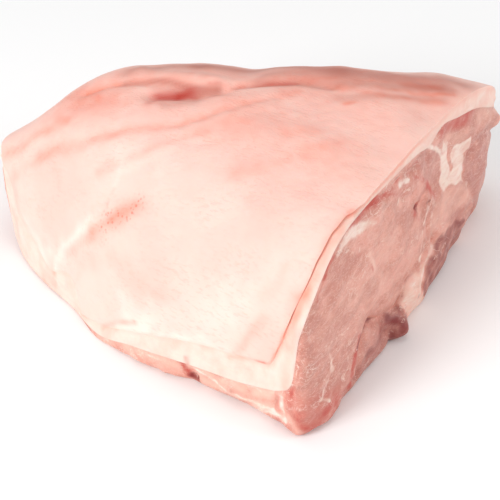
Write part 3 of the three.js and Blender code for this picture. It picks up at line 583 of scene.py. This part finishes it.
# ---- rim
class Rim:
    """Values of every column round the roast."""

    def __init__(self):
        plan = RIM[:, :2]
        step = np.linalg.norm(np.roll(plan, -1, axis=0) - plan, axis=1)
        self.knots = np.concatenate([[0], np.cumsum(step)])
        place = self.places()
        self.plan = closed_curve(self.knots, plan, place, mean_slope)
        cut = RIM[:, 2] == 0
        rind = np.where(cut, crown(plan), RIM[:, 2])
        edge = crown(on_ray(plan, reach_for(plan, rind)))
        lean = np.where(RIM[:, 3] < 0, edge + RIM[:, 3], RIM[:, 3])
        table = np.column_stack([rind, lean, RIM[:, 4], RIM[:, 5], np.where(cut, 0.0, 1.0)])
        rind, self.lean, self.foot, self.fat, trim = closed_curve(self.knots, table, place, monotone_slope).T
        self.trim = np.clip(trim, 0, 1)
        after = closed_curve(self.knots, plan, place + TANGENT_STEP, mean_slope)
        turn = after - closed_curve(self.knots, plan, place - TANGENT_STEP, mean_slope)
        turn /= np.linalg.norm(turn, axis=1)[:, None]
        self.out = np.column_stack([turn[:, 1], -turn[:, 0]])
        reach = 1 - (1 - reach_for(self.plan, rind)) * self.trim
        self.rind = on_ray(self.plan, reach)
        self.rind_z = crown(self.rind)

    def places(self):
        """Run along the rim at each column, closer where SPACING says so."""
        loop = self.knots[-1]
        at = (np.arange(-SPACING_PAD, SPACING_STEPS + SPACING_PAD) + 0.5) / SPACING_STEPS * loop % loop
        weight = np.zeros(len(at))
        for start, value in SPACING:
            weight[at >= self.knots[start]] = value
        weight = np.convolve(weight, np.ones(SPACING_BLUR) / SPACING_BLUR, "same")
        weight = weight[SPACING_PAD:-SPACING_PAD]
        total = np.concatenate([[0], np.cumsum(weight)])
        return np.interp(np.arange(COLUMNS) / COLUMNS * total[-1], total,
                         np.linspace(0, loop, SPACING_STEPS + 1))

    def between(self, values, place):
        """Values at places that lie between the columns."""
        place = np.mod(place, COLUMNS)
        i = np.floor(place).astype(int)
        t = place - i
        if values.ndim > 1:
            t = t[:, None]
        return values[i] * (1 - t) + values[(i + 1) % COLUMNS] * t

    def rows(self):
        """Shares of the rays that space the crown's rows evenly."""
        inward = 1 - np.linspace(0, 1, PROFILE_STEPS)
        share = 1 - (1 - CROWN_INNER) * inward**2
        plan = on_ray(self.rind[None], np.repeat(share[:, None], COLUMNS, axis=1))
        points = np.concatenate([plan, crown(plan)[..., None]], axis=2)
        run = np.cumsum(np.linalg.norm(np.diff(points, axis=0), axis=2), axis=0)
        run = np.vstack([np.zeros(COLUMNS), run])
        out = np.empty((CROWN_ROWS, COLUMNS))
        step = np.arange(1, CROWN_ROWS + 1) / CROWN_ROWS
        for c in range(COLUMNS):
            out[:, c] = np.interp(step * run[-1, c], run[:, c], share)
        return out


rim = Rim()
crown_rows = rim.rows()
POLE_HEIGHT = float(crown(POLE[None])[0])


def square_places(side):
    """Share of the way out and column of each node of the middle grid."""
    a, b = np.meshgrid(np.arange(side + 1), np.arange(side + 1))
    x, y = 2 * a / side - 1, 2 * b / side - 1
    out = np.maximum(abs(x), abs(y))
    d = np.where(out == 0, 1, 2 * out)
    turn = np.select(
        [(y == -out) & (x < out), (x == out) & (y < out), (y == out) & (x > -out)],
        [(x + out) / d, 1 + (y + out) / d, 2 + (out - x) / d], 3 + (out - y) / d)
    return out.ravel(), np.where(out == 0, 0, turn * side).ravel()


SIDE = COLUMNS // 4
grid_out, grid_place = square_places(SIDE)


def bed(rind, rind_z, lean, fat, share, sunk):
    """Where lean meets fat, under the crown."""
    rise = (crown(on_ray(rind, share)) - rind_z) / (POLE_HEIGHT - rind_z)
    room = np.linalg.norm(rind - POLE, axis=-1)
    plan = on_ray(rind, share - (fat + sunk) * share / room)
    top = POLE_HEIGHT - FAT_TOP
    z = lean + (top - lean) * np.clip(rise, 0, BED_RISE) + folds(plan) * BED_FOLD * (1 - share) - sunk
    return np.column_stack([plan, z])


# ---- relief
def line_distance(points, line):
    """Distance of each point from a line of straight pieces."""
    best = np.full(points.shape[:-1], 1e9)
    line = np.asarray(line, float)
    for a, b in zip(line[:-1], line[1:]):
        run = b - a
        t = np.clip(((points - a) @ run) / (run @ run), 0, 1)
        best = np.minimum(best, np.linalg.norm(points - a - t[..., None] * run, axis=-1))
    return best


def waves(points, size, seed, stretch=EVEN):
    """Smooth random field of about unit spread, lumps about `size` across."""
    rng = np.random.default_rng(seed)
    way = rng.normal(size=(WAVE_COUNT, 3))
    way /= np.linalg.norm(way, axis=1)[:, None]
    pitch = 2 * math.pi / (size * rng.uniform(*WAVE_LENGTHS, WAVE_COUNT))
    way = way * pitch[:, None] / np.asarray(stretch, float)
    phase = rng.uniform(0, 2 * math.pi, WAVE_COUNT)
    flat = points.reshape(-1, 3)
    total = np.zeros(len(flat))
    for w, ph in zip(way, phase):
        total += np.sin(flat @ w + ph)
    return (total * math.sqrt(2 / WAVE_COUNT)).reshape(points.shape[:-1])


def relief(points, layers):
    """Sum of several layers of waves."""
    return sum(height * waves(points, size, seed, stretch) for height, size, seed, stretch in layers)


def wall_relief(p):
    """Swells and seams of the wall."""
    out = np.zeros(p.shape[:-1])
    for x, y, z, sx, sy, sz, height in WALL_SWELLS:
        d = ((p - (x, y, z)) / (sx, sy, sz)) ** 2
        out += height * np.exp(-d.sum(axis=-1))
    for line, wide, deep in WALL_SEAMS:
        out -= deep * np.exp(-((line_distance(p, line) / wide) ** 2))
    return out


def wall(top, share):
    """Rows of wall points from the fat down to the table."""
    z = top[None] * (1 - share[:, None])
    start = np.clip(1 - top / SPLAY_BELOW, 0, 1) ** SPLAY_POWER
    splay = np.clip(1 - z / SPLAY_BELOW, 0, 1) ** SPLAY_POWER
    flare = -rim.foot * (splay - start) / (1 - start)
    swell = WALL_SWELL * np.sin(math.pi * share)[:, None] * np.clip(top / SWELL_TALL, 0, 1)
    radius = np.minimum(FOOT_RADIUS, top / 2)
    below = np.maximum(radius - z, 0)
    tuck = radius - np.sqrt(np.maximum(radius**2 - below**2, 0))
    base = np.concatenate([rim.plan + rim.out * (flare + swell)[..., None], z[..., None]], axis=2)
    form = wall_relief(base) * np.clip((top - z) / RELIEF_DEPTH, 0, 1)
    lift = form + meat_grain(base) * np.clip((top - z) / GRAIN_DEPTH, 0, 1)
    off_foot = np.clip(z / GRAIN_DEPTH, 0, 1) ** 0.5
    lift = lift * off_foot + form * (1 - off_foot)
    base[..., :2] += rim.out * (lift - tuck)[..., None]
    return base


def meat_grain(p):
    """Fine relief of cut muscle: soft lumps, and a nub that stands out."""
    nub = NUB_HEIGHT * np.exp(-((line_distance(p, NUB) / NUB_WIDTH) ** 2))
    return relief(p, MEAT_RELIEF) + nub


def paint(points, strokes, ragged, seed):
    """Strength of all strokes at each point, with uneven edges."""
    shift = np.stack([waves(points, STROKE_WAVES, seed + i) for i in range(3)], axis=-1)
    total = np.ones(points.shape[:-1])
    for line, wide, strength in strokes:
        reach = ragged * min(wide * STROKE_SHIFT, STROKE_SHIFT_LIMIT)
        d = line_distance(points + shift * reach, line) / wide
        total *= 1 - strength * np.exp(-d * d)
    return 1 - total


def inside(points, outline, soft):
    """1 inside an outline on the cut face and 0 outside, with a soft uneven edge."""
    shift = np.stack([waves(points, OUTLINE_WAVES, OUTLINE_SEED + i) for i in range(2)], axis=-1)
    at = points[:, 1:] + OUTLINE_SHIFT * shift
    line = np.asarray(outline + outline[:1], float)
    crossings = np.zeros(len(at), bool)
    for (y0, z0), (y1, z1) in zip(line[:-1], line[1:]):
        spans = (z0 > at[:, 1]) != (z1 > at[:, 1])
        rise = z1 - z0 if z1 != z0 else 1.0
        crossings ^= spans & (at[:, 0] < y0 + (at[:, 1] - z0) * (y1 - y0) / rise)
    depth = np.where(crossings, 1, -1) * line_distance(at, line)
    t = np.clip(0.5 + depth / (2 * soft), 0, 1)
    return np.where(points[:, 0] > FACE_FROM, t * t * (3 - 2 * t), 0)


def flush(points):
    """Strength of the broad pink areas at each point."""
    left = np.ones(points.shape[:-1])
    for middle, size, strength in FLUSH:
        d = ((points - middle) / size) ** 2
        left *= 1 - strength * np.exp(-d.sum(axis=-1))
    return 1 - left


# ---- meshes
class Skin:
    """Collects the rings and grids of one closed surface."""

    def __init__(self):
        self.parts, self.quads, self.count = [], [], 0

    def add(self, points):
        """Takes points in and gives back their numbers."""
        self.parts.append(points)
        ids = np.arange(self.count, self.count + len(points))
        self.count += len(points)
        return ids

    def band(self, a, b, flip=False):
        """Quads between two rings of points."""
        j = np.roll(np.arange(len(a)), -1)
        quads = np.stack([a, b, b[j], a[j]], axis=1)
        self.quads.append(quads[:, ::-1] if flip else quads)

    def grid(self, points, flip=False):
        """Quads of a square grid; gives back the ring of its border."""
        ids = self.add(points).reshape(SIDE + 1, SIDE + 1)
        quads = np.stack([ids[:-1, :-1], ids[:-1, 1:], ids[1:, 1:], ids[1:, :-1]], axis=-1).reshape(-1, 4)
        self.quads.append(quads[:, ::-1] if flip else quads)
        return np.concatenate([ids[0, :-1], ids[:-1, -1], ids[-1, :0:-1], ids[:0:-1, 0]])

    def stack(self, ring, rows, flip=False):
        """Bands from a ring through all rows; gives back the last ring."""
        for points in rows:
            new = self.add(points)
            self.band(ring, new, flip)
            ring = new
        return ring

    def data(self):
        return np.vstack(self.parts), np.vstack(self.quads)


def split(points, quads):
    """Triangles; each quad is cut along its shorter diagonal."""
    a, b, c, d = (points[quads[:, i]] for i in range(4))
    first = np.linalg.norm(c - a, axis=1) <= np.linalg.norm(d - b, axis=1)
    one = np.where(first[:, None], quads[:, [0, 1, 2]], quads[:, [0, 1, 3]])
    two = np.where(first[:, None], quads[:, [0, 2, 3]], quads[:, [1, 2, 3]])
    return np.vstack([one, two])


def new_object(name, data):
    obj = bpy.data.objects.new(name, data)
    bpy.context.scene.collection.objects.link(obj)
    return obj


def make_object(name, points, quads, material, node):
    """Mesh object in the row frame that stands for a CAD node."""
    tris = split(points, quads)
    at = points.copy()
    at[:, :2] -= CENTRE
    mesh = bpy.data.meshes.new(name)
    mesh.vertices.add(len(at))
    mesh.vertices.foreach_set("co", (at * MM).ravel())
    mesh.loops.add(tris.size)
    mesh.loops.foreach_set("vertex_index", tris.ravel().astype(np.int32))
    mesh.polygons.add(len(tris))
    mesh.polygons.foreach_set("loop_start", np.arange(0, tris.size, 3, dtype=np.int32))
    mesh.update(calc_edges=True)
    mesh.validate()
    mesh.shade_smooth()
    mesh.set_sharp_from_angle(angle=SHARP)
    mesh.materials.append(material)
    obj = new_object(name, mesh)
    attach(obj, "root")
    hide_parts(node)
    return obj


def give(obj, name, values):
    """Stores one value for each point, for the material to read."""
    layer = obj.data.attributes.new(name, "FLOAT", "POINT")
    layer.data.foreach_set("value", np.asarray(values, np.float32))


def bed_rows(sunk):
    """Middle grid and rows of the surface where lean meets fat."""
    table = (rim.rind, rim.rind_z, rim.lean, rim.fat)
    middle = bed(*(rim.between(v, grid_place) for v in table), grid_out * CROWN_INNER, sunk)
    step = CROWN_ROWS // BED_ROWS
    shares = [crown_rows[i] for i in range(step - 1, CROWN_ROWS - 1, step)] + [np.ones(COLUMNS)]
    rows = [bed(*table, s, sunk) for s in shares]
    rows.append(np.column_stack([rim.plan, rim.lean - sunk]))
    return middle, rows


def crown_points(rind, share):
    """Rind surface; its folds and relief fade towards the edge."""
    plan = on_ray(rind, share)
    z = crown(plan) + folds(plan) * np.minimum(1, FOLD_FADE * (1 - share))
    p = np.column_stack([plan, z])
    lift = relief(p, RIND_RELIEF) * np.clip((z - RELIEF_FROM) / RELIEF_RUN, 0, 1)
    return np.column_stack([plan, z + lift * np.minimum(1, EDGE_RELIEF + RELIEF_FADE * (1 - share))])


def fat_edge(lip):
    """Rows of the cut fat, from the rind's edge down to the lean."""
    outward = np.column_stack([rim.out, np.zeros(COLUMNS)])
    lean = np.column_stack([rim.plan, rim.lean])
    rows = []
    for t in np.linspace(0, 1, EDGE_ROWS + 1)[1:-1]:
        p = lip * (1 - t) + lean * t
        rows.append(p + outward * (relief(p, FAT_RELIEF) * math.sin(math.pi * t))[:, None])
    return rows


def build_cap():
    """Points and quads of the cap, its number of rind points, and how far
    each point belongs to the skin's cut edge."""
    skin = Skin()
    middle = crown_points(rim.between(rim.rind, grid_place), grid_out * CROWN_INNER)
    ring = skin.stack(skin.grid(middle), [crown_points(rim.rind, s) for s in crown_rows])
    dome = skin.count
    edge = skin.parts[-1]
    tuck = (RIND_LIP * rim.trim)[:, None]
    drop = np.minimum(LIP_DROP, (rim.rind_z - rim.lean) / 3)
    lip = np.column_stack([edge[:, :2] - rim.out * tuck, edge[:, 2] - drop])
    rows = fat_edge(lip)
    ring = skin.stack(ring, [lip] + rows)
    depth = np.concatenate([np.linalg.norm(row - lip, axis=1) for row in [lip] + rows])
    middle, bed_list = bed_rows(0.0)
    skin.band(ring, skin.stack(skin.grid(middle, True), bed_list, True))
    points, quads = skin.data()
    cut = np.zeros(len(points))
    cut[dome:dome + len(depth)] = np.exp(-((depth / SKIN) ** 2))
    return points, quads, dome, cut


def build_lean():
    """Points and quads of the lean: bed, wall and underside."""
    skin = Skin()
    middle, bed_list = bed_rows(SEAM)
    ring = skin.stack(skin.grid(middle), bed_list)
    share = np.sin(math.pi / 2 * (np.arange(1, WALL_ROWS + 1) / WALL_ROWS) ** WALL_CROWDING)
    rows = wall(rim.lean - SEAM, share)
    ring = skin.stack(ring, list(rows))
    plan = on_ray(rim.between(rows[-1][:, :2], grid_place), grid_out)
    under = np.column_stack([plan, np.zeros(len(plan))])
    hollow = UNDERSIDE_HOLLOW + relief(under, UNDERSIDE_RELIEF)
    under[:, 2] = np.clip(hollow, 0, 1) * np.clip((1 - grid_out) * UNDERSIDE_RIM, 0, 1)
    skin.band(ring, skin.grid(under, True))
    return skin.data()


# ---- materials
# Bump in metres, and the share of the light that enters the surface
BUMP = 0.0005
GLOW = 0.22


class Nodes:
    """A material and short ways to add its nodes."""

    def __init__(self, name):
        self.material = bpy.data.materials.new(name)
        self.material.use_nodes = True
        self.tree = self.material.node_tree
        self.tree.nodes.clear()

    def node(self, kind, inputs=None, **props):
        n = self.tree.nodes.new(kind)
        for key, value in props.items():
            setattr(n, key, value)
        for key, value in (inputs or {}).items():
            self.feed(n.inputs[key], value)
        return n

    def feed(self, socket, value):
        if isinstance(value, bpy.types.NodeSocket):
            self.tree.links.new(value, socket)
        else:
            socket.default_value = value

    def attr(self, name):
        return self.node("ShaderNodeAttribute", attribute_name=name).outputs["Fac"]

    def math(self, op, a, b=None, clamp=False):
        n = self.node("ShaderNodeMath", operation=op, use_clamp=clamp)
        self.feed(n.inputs[0], a)
        if b is not None:
            self.feed(n.inputs[1], b)
        return n.outputs[0]

    def remap(self, value, low, high, to_low=0.0, to_high=1.0):
        n = self.node("ShaderNodeMapRange", clamp=True)
        n.interpolation_type = "SMOOTHSTEP"
        for key, v in enumerate((value, low, high, to_low, to_high)):
            self.feed(n.inputs[key], v)
        return n.outputs[0]

    def mix(self, share, a, b):
        n = self.node("ShaderNodeMix", data_type="RGBA")
        self.feed(n.inputs["Factor"], share)
        self.feed(n.inputs[6], a)
        self.feed(n.inputs[7], b)
        return n.outputs[2]

    def noise(self, where, scale, detail=3.0, rough=0.55, warp=0.0):
        """Noise with `scale` lumps to the metre."""
        n = self.node("ShaderNodeTexNoise", {"Vector": where, "Scale": scale, "Detail": detail,
                                             "Roughness": rough, "Distortion": warp})
        return n.outputs["Fac"]

    def stretched(self, where, scale, turn=(0, 0, 0)):
        return self.node("ShaderNodeMapping", {"Vector": where, "Scale": scale, "Rotation": turn}).outputs[0]

    def moist(self, colour, rough, shine, glow, depth, height, bumpy):
        """Ends the material as a surface that light enters to a small depth."""
        bump = self.node("ShaderNodeBump", {"Strength": bumpy, "Distance": BUMP, "Height": height})
        shader = self.node("ShaderNodeBsdfPrincipled", {
            "Base Color": colour, "Roughness": rough, "Specular IOR Level": shine, "Subsurface Weight": GLOW,
            "Subsurface Radius": glow, "Subsurface Scale": depth, "Normal": bump.outputs[0]})
        self.node("ShaderNodeOutputMaterial", {"Surface": shader.outputs[0]})
        return self.material


def rgb(r, g, b):
    """sRGB 0-255 to the linear colour a socket takes."""
    def one(v):
        v /= 255
        return v / 12.92 if v <= 0.04045 else ((v + 0.055) / 1.055) ** 2.4
    return (one(r), one(g), one(b), 1)


# Colours: the rind's cream also serves painted highlights and its dusk painted shade; the meat's dusk and
# dark also serve painted shade, and the marbling white painted glints
RIND, RIND_WARM = rgb(247, 209, 197), rgb(245, 198, 186)
RIND_CREAM_AND_HIGHLIGHT, RIND_BLUSH = rgb(252, 230, 219), rgb(239, 132, 106)
RIND_SPECK, RIND_PAINTED_SHADE = rgb(214, 98, 76), rgb(178, 98, 82)
RIND_STAIN = rgb(182, 54, 40)
CUT_FAT, CUT_FAT_WARM, CUT_FAT_BLUSH = rgb(248, 218, 205), rgb(245, 202, 188), rgb(240, 150, 126)
MEAT, MEAT_DEEP, MEAT_DUSK_AND_SHADE = rgb(230, 163, 146), rgb(205, 135, 119), rgb(194, 127, 116)
GRAIN_LIGHT, GRAIN_DEEP, GRAIN_FINE = rgb(243, 198, 182), rgb(190, 102, 86), rgb(246, 206, 190)
MEAT_PALE, MEAT_RED, MEAT_DARK_RED_AND_SHADE = rgb(242, 190, 172), rgb(198, 80, 66), rgb(136, 44, 40)
MARBLING_AND_GLINT, MARBLING_AND_GLINT_DULL = rgb(249, 224, 211), rgb(238, 196, 180)


def rind_material():
    """Rind with pink streaks, fine wrinkles, painted highlights and painted shade, and the fat at its cut
    edge.
    """
    m = Nodes("fat_cap")
    where = m.node("ShaderNodeTexCoord").outputs["Object"]
    fine = m.noise(where, 150, 4)
    skin = m.mix(m.remap(m.noise(where, 26, 3), 0.35, 0.7), RIND, RIND_WARM)
    # Paler places, and painted highlights on the raised ridges
    skin = m.mix(m.attr("cream_and_highlight"), skin, RIND_CREAM_AND_HIGHLIGHT)
    # Wrinkles are short dashes that lie along the rind
    lying = m.stretched(where, (0.4, 0.9, 1), (0, math.radians(12), 0))
    dashes = m.noise(lying, 760, 2, 0.5)
    wrinkle = m.math("MULTIPLY", m.remap(dashes, 0.5, 0.68), m.attr("pores"), True)
    blush = m.math("MULTIPLY", m.attr("blush"), m.remap(fine, 0.25, 0.75, 0.88, 1.1))
    blush = m.math("ADD", blush, m.math("MULTIPLY", wrinkle, 0.13), True)
    skin = m.mix(blush, skin, RIND_BLUSH)
    cells = m.node("ShaderNodeTexVoronoi", {"Vector": where, "Scale": 460})
    dots = m.math("MULTIPLY", m.remap(cells.outputs["Distance"], 0.4, 0.2), m.attr("speck"), True)
    skin = m.mix(m.math("MULTIPLY", dots, 0.6), skin, RIND_SPECK)
    # Painted shade over the far slope of the top and in the fold
    skin = m.mix(m.attr("dusk_and_shade"), skin, RIND_PAINTED_SHADE)
    fat = m.mix(m.remap(m.noise(where, 90, 4), 0.35, 0.7), CUT_FAT, CUT_FAT_WARM)
    fat = m.mix(m.attr("blush"), fat, CUT_FAT_BLUSH)
    colour = m.mix(m.attr("rind"), fat, skin)
    colour = m.mix(m.attr("red"), colour, RIND_STAIN)
    height = m.math("SUBTRACT", fine, m.math("MULTIPLY", wrinkle, 0.7))
    return m.moist(colour, 0.48, 0.35, (1.0, 0.45, 0.32), 0.003, height, 0.4)


def meat_material():
    """Cut muscle with grain, patches, seams and marbling, painted shade in the seams and under the fat, and a
    few painted glints.
    """
    m = Nodes("lean_meat")
    where = m.stretched(m.node("ShaderNodeTexCoord").outputs["Object"], (1, 0.45, 1))
    grain = m.noise(where, 520, 5, 0.62, 0.5)
    patch = m.noise(where, 95, 5, 0.6, 0.4)
    fine = m.noise(where, 1500, 2)
    torn = m.noise(where, 480, 4, 0.65, 0.6)

    def crisp(name, low, high, rough):
        """A stroke's strength with an edge that the grain makes ragged."""
        shaken = m.math("MULTIPLY", m.math("SUBTRACT", torn, 0.5), rough)
        there = m.remap(m.attr(name), 0.02, 0.2)
        return m.math("MULTIPLY", there, m.remap(m.math("ADD", m.attr(name), shaken), low, high))

    lean = m.mix(m.remap(patch, 0.36, 0.64), MEAT, MEAT_DEEP)
    # Dusky muscles, and painted shade over the low front corner of the face
    lean = m.mix(m.attr("dusk_and_shade"), lean, MEAT_DUSK_AND_SHADE)
    lean = m.mix(m.remap(grain, 0.52, 0.74, 0, 0.45), lean, GRAIN_LIGHT)
    lean = m.mix(m.remap(grain, 0.46, 0.28, 0, 0.34), lean, GRAIN_DEEP)
    lean = m.mix(m.remap(fine, 0.5, 0.72, 0, 0.4), lean, GRAIN_FINE)
    vein = m.math("ABSOLUTE", m.math("SUBTRACT", m.noise(where, 190, 3, 0.5, 1.1), 0.5))
    threads_here = m.remap(m.noise(where, 75, 2), 0.46, 0.6, 0, 0.7)
    thread = m.math("MULTIPLY", m.remap(vein, 0.016, 0.002), threads_here)
    lean = m.mix(crisp("pale", 0.0, 1.0, 0.4), lean, MEAT_PALE)
    lean = m.mix(crisp("red", 0.06, 0.9, 0.45), lean, MEAT_RED)
    # Dark red muscle, and painted shade in the seams, slits, holes and under the fat
    lean = m.mix(crisp("dark_red_and_shade", 0.06, 0.98, 0.4), lean, MEAT_DARK_RED_AND_SHADE)
    flecks = m.noise(where, 420, 3, 0.55, 1.4)
    flecks_here = m.remap(m.noise(where, 40, 2), 0.45, 0.6, 0.08, 0.42)
    fleck = m.math("MULTIPLY", m.remap(flecks, 0.63, 0.75), flecks_here)
    # White fat, which also holds a few painted glints
    fat = m.math("ADD", crisp("fat", 0.16, 0.78, 0.6), m.math("MAXIMUM", fleck, thread), True)
    white = m.mix(m.remap(m.noise(where, 210, 4, 0.6, 0.8), 0.4, 0.66), MARBLING_AND_GLINT, MARBLING_AND_GLINT_DULL)
    colour = m.mix(m.math("MULTIPLY", fat, 0.94), lean, white)
    height = m.math("ADD", grain, m.math("MULTIPLY", fine, 0.4))
    return m.moist(colour, 0.38, 0.5, (1.0, 0.3, 0.2), 0.0018, height, 0.6)


# ---- the roast
def edge_pink(points):
    """How pink the skin's cut edge is at each point."""
    x, y = points[:, 0], points[:, 1]
    least, gain, end, run = EDGE_BY_FACE
    by_face = least + gain * np.clip((end - y) / run, 0, 1)
    least, gain, corner, reach = EDGE_ELSEWHERE
    elsewhere = least + gain * np.exp(-((x - corner) / reach) ** 2)
    return np.where(x > EDGE_FACE_FROM, by_face, elsewhere)


points, quads, dome, cut = build_cap()
cap = make_object("fat_cap_visual", points, quads, rind_material(), "fat_cap")
give(cap, "rind", np.arange(len(points)) < dome)
blush = 1 - (1 - paint(points, BLUSH, ragged=0.5, seed=71)) * (1 - flush(points))
blush *= np.clip(1 + relief(points, MOTTLE), *MOTTLE_RANGE)
give(cap, "blush", 1 - (1 - blush) * (1 - cut * edge_pink(points)))
# The next two: paler places with painted highlights, then painted shade
give(cap, "cream_and_highlight", paint(points, CREAM_AND_HIGHLIGHT, ragged=1, seed=78))
give(cap, "dusk_and_shade", paint(points, RIND_SHADE_STROKES, ragged=0.2, seed=75))
give(cap, "speck", paint(points, SPECKLE, ragged=1, seed=84))
pores = 0.4 + 0.8 * paint(points, PORES, ragged=1, seed=87) + 0.2 * waves(points, 12, 88)
give(cap, "pores", np.clip(pores, 0, 1))
give(cap, "red", paint(points, STAINS, ragged=0.8, seed=81))

points, quads = build_lean()
lean = make_object("lean_meat_visual", points, quads, meat_material(), "lean_meat")
# The dark and dusky channels carry painted shade besides darker muscle, and the fat channel a few painted
# glints
strokes = {"fat": FAT_AND_GLINTS + STRANDS, "dark_red_and_shade": DARK_RED_AND_SHADE, "red": RED, "pale": PALE, "dusk_and_shade": ()}
for seed, (name, lines) in enumerate(strokes.items()):
    left = 1 - paint(points, lines, ragged=0.6, seed=91 + 4 * seed)
    for channel, soft, strength, outline in AREAS:
        if channel == name:
            left *= 1 - strength * inside(points, outline, soft)
    uneven = np.clip(0.95 + 0.14 * waves(points, 3, 131 + seed), 0, 1.1)
    give(lean, name, (1 - left) * uneven)


# ---- stage
LAMP_AIM = (0, 0, 0.04)
FLOOR = 3
PAPER = (0.96, 0.96, 0.96, 1)
SKY_LIGHT = 0.5
# Camera fitted to the photo, in metres and in millimetres of lens and sensor
AIM = Vector((-CENTRE[0] * MM, -CENTRE[1] * MM, 0.045))
AZIMUTH, LIFT, DISTANCE = math.radians(29.6), math.radians(38), 0.9
LENS, SENSOR = 137.6, 36


def lamp(name, spot, aim, size, power):
    """Round soft light; places and size in metres, power in watts."""
    data = bpy.data.lights.new(name, "AREA")
    data.shape = "DISK"
    data.size = size
    data.energy = power
    obj = new_object(name, data)
    obj.location = spot
    obj.rotation_euler = (Vector(aim) - Vector(spot)).to_track_quat("-Z", "Y").to_euler()


floor_mesh = bpy.data.meshes.new("floor")
corners = [(-FLOOR, -FLOOR, 0), (FLOOR, -FLOOR, 0), (FLOOR, FLOOR, 0), (-FLOOR, FLOOR, 0)]
floor_mesh.from_pydata(corners, [], [(0, 1, 2, 3)])
paper = Nodes("paper")
matt = paper.node("ShaderNodeBsdfPrincipled", {"Base Color": PAPER, "Roughness": 0.9})
paper.node("ShaderNodeOutputMaterial", {"Surface": matt.outputs[0]})
floor_mesh.materials.append(paper.material)
floor = new_object("floor", floor_mesh)

back = Vector((math.sin(AZIMUTH) * math.cos(LIFT), -math.cos(AZIMUTH) * math.cos(LIFT), math.sin(LIFT)))
lamp("key", (-0.35, -1.15, 0.75), LAMP_AIM, 0.6, 12)
lamp("fill", (1.1, 0.35, 0.65), LAMP_AIM, 0.8, 5)
lamp("top", (-0.1, 0.1, 1.3), (0, 0, 0), 0.9, 3)

scene = bpy.context.scene
scene.world = bpy.data.worlds.new("studio")
scene.world.use_nodes = True
sky = scene.world.node_tree.nodes["Background"]
sky.inputs[0].default_value = (1, 1, 1, 1)
sky.inputs[1].default_value = SKY_LIGHT

view = bpy.data.cameras.new("view")
view.lens = LENS
view.sensor_width = SENSOR
view.clip_start = 0.01
camera = new_object("view", view)
camera.location = AIM + back * DISTANCE
camera.rotation_euler = (-back).to_track_quat("-Z", "Y").to_euler()
scene.camera = camera
scene.view_settings.view_transform = "Standard"
scene.view_settings.look = "None"
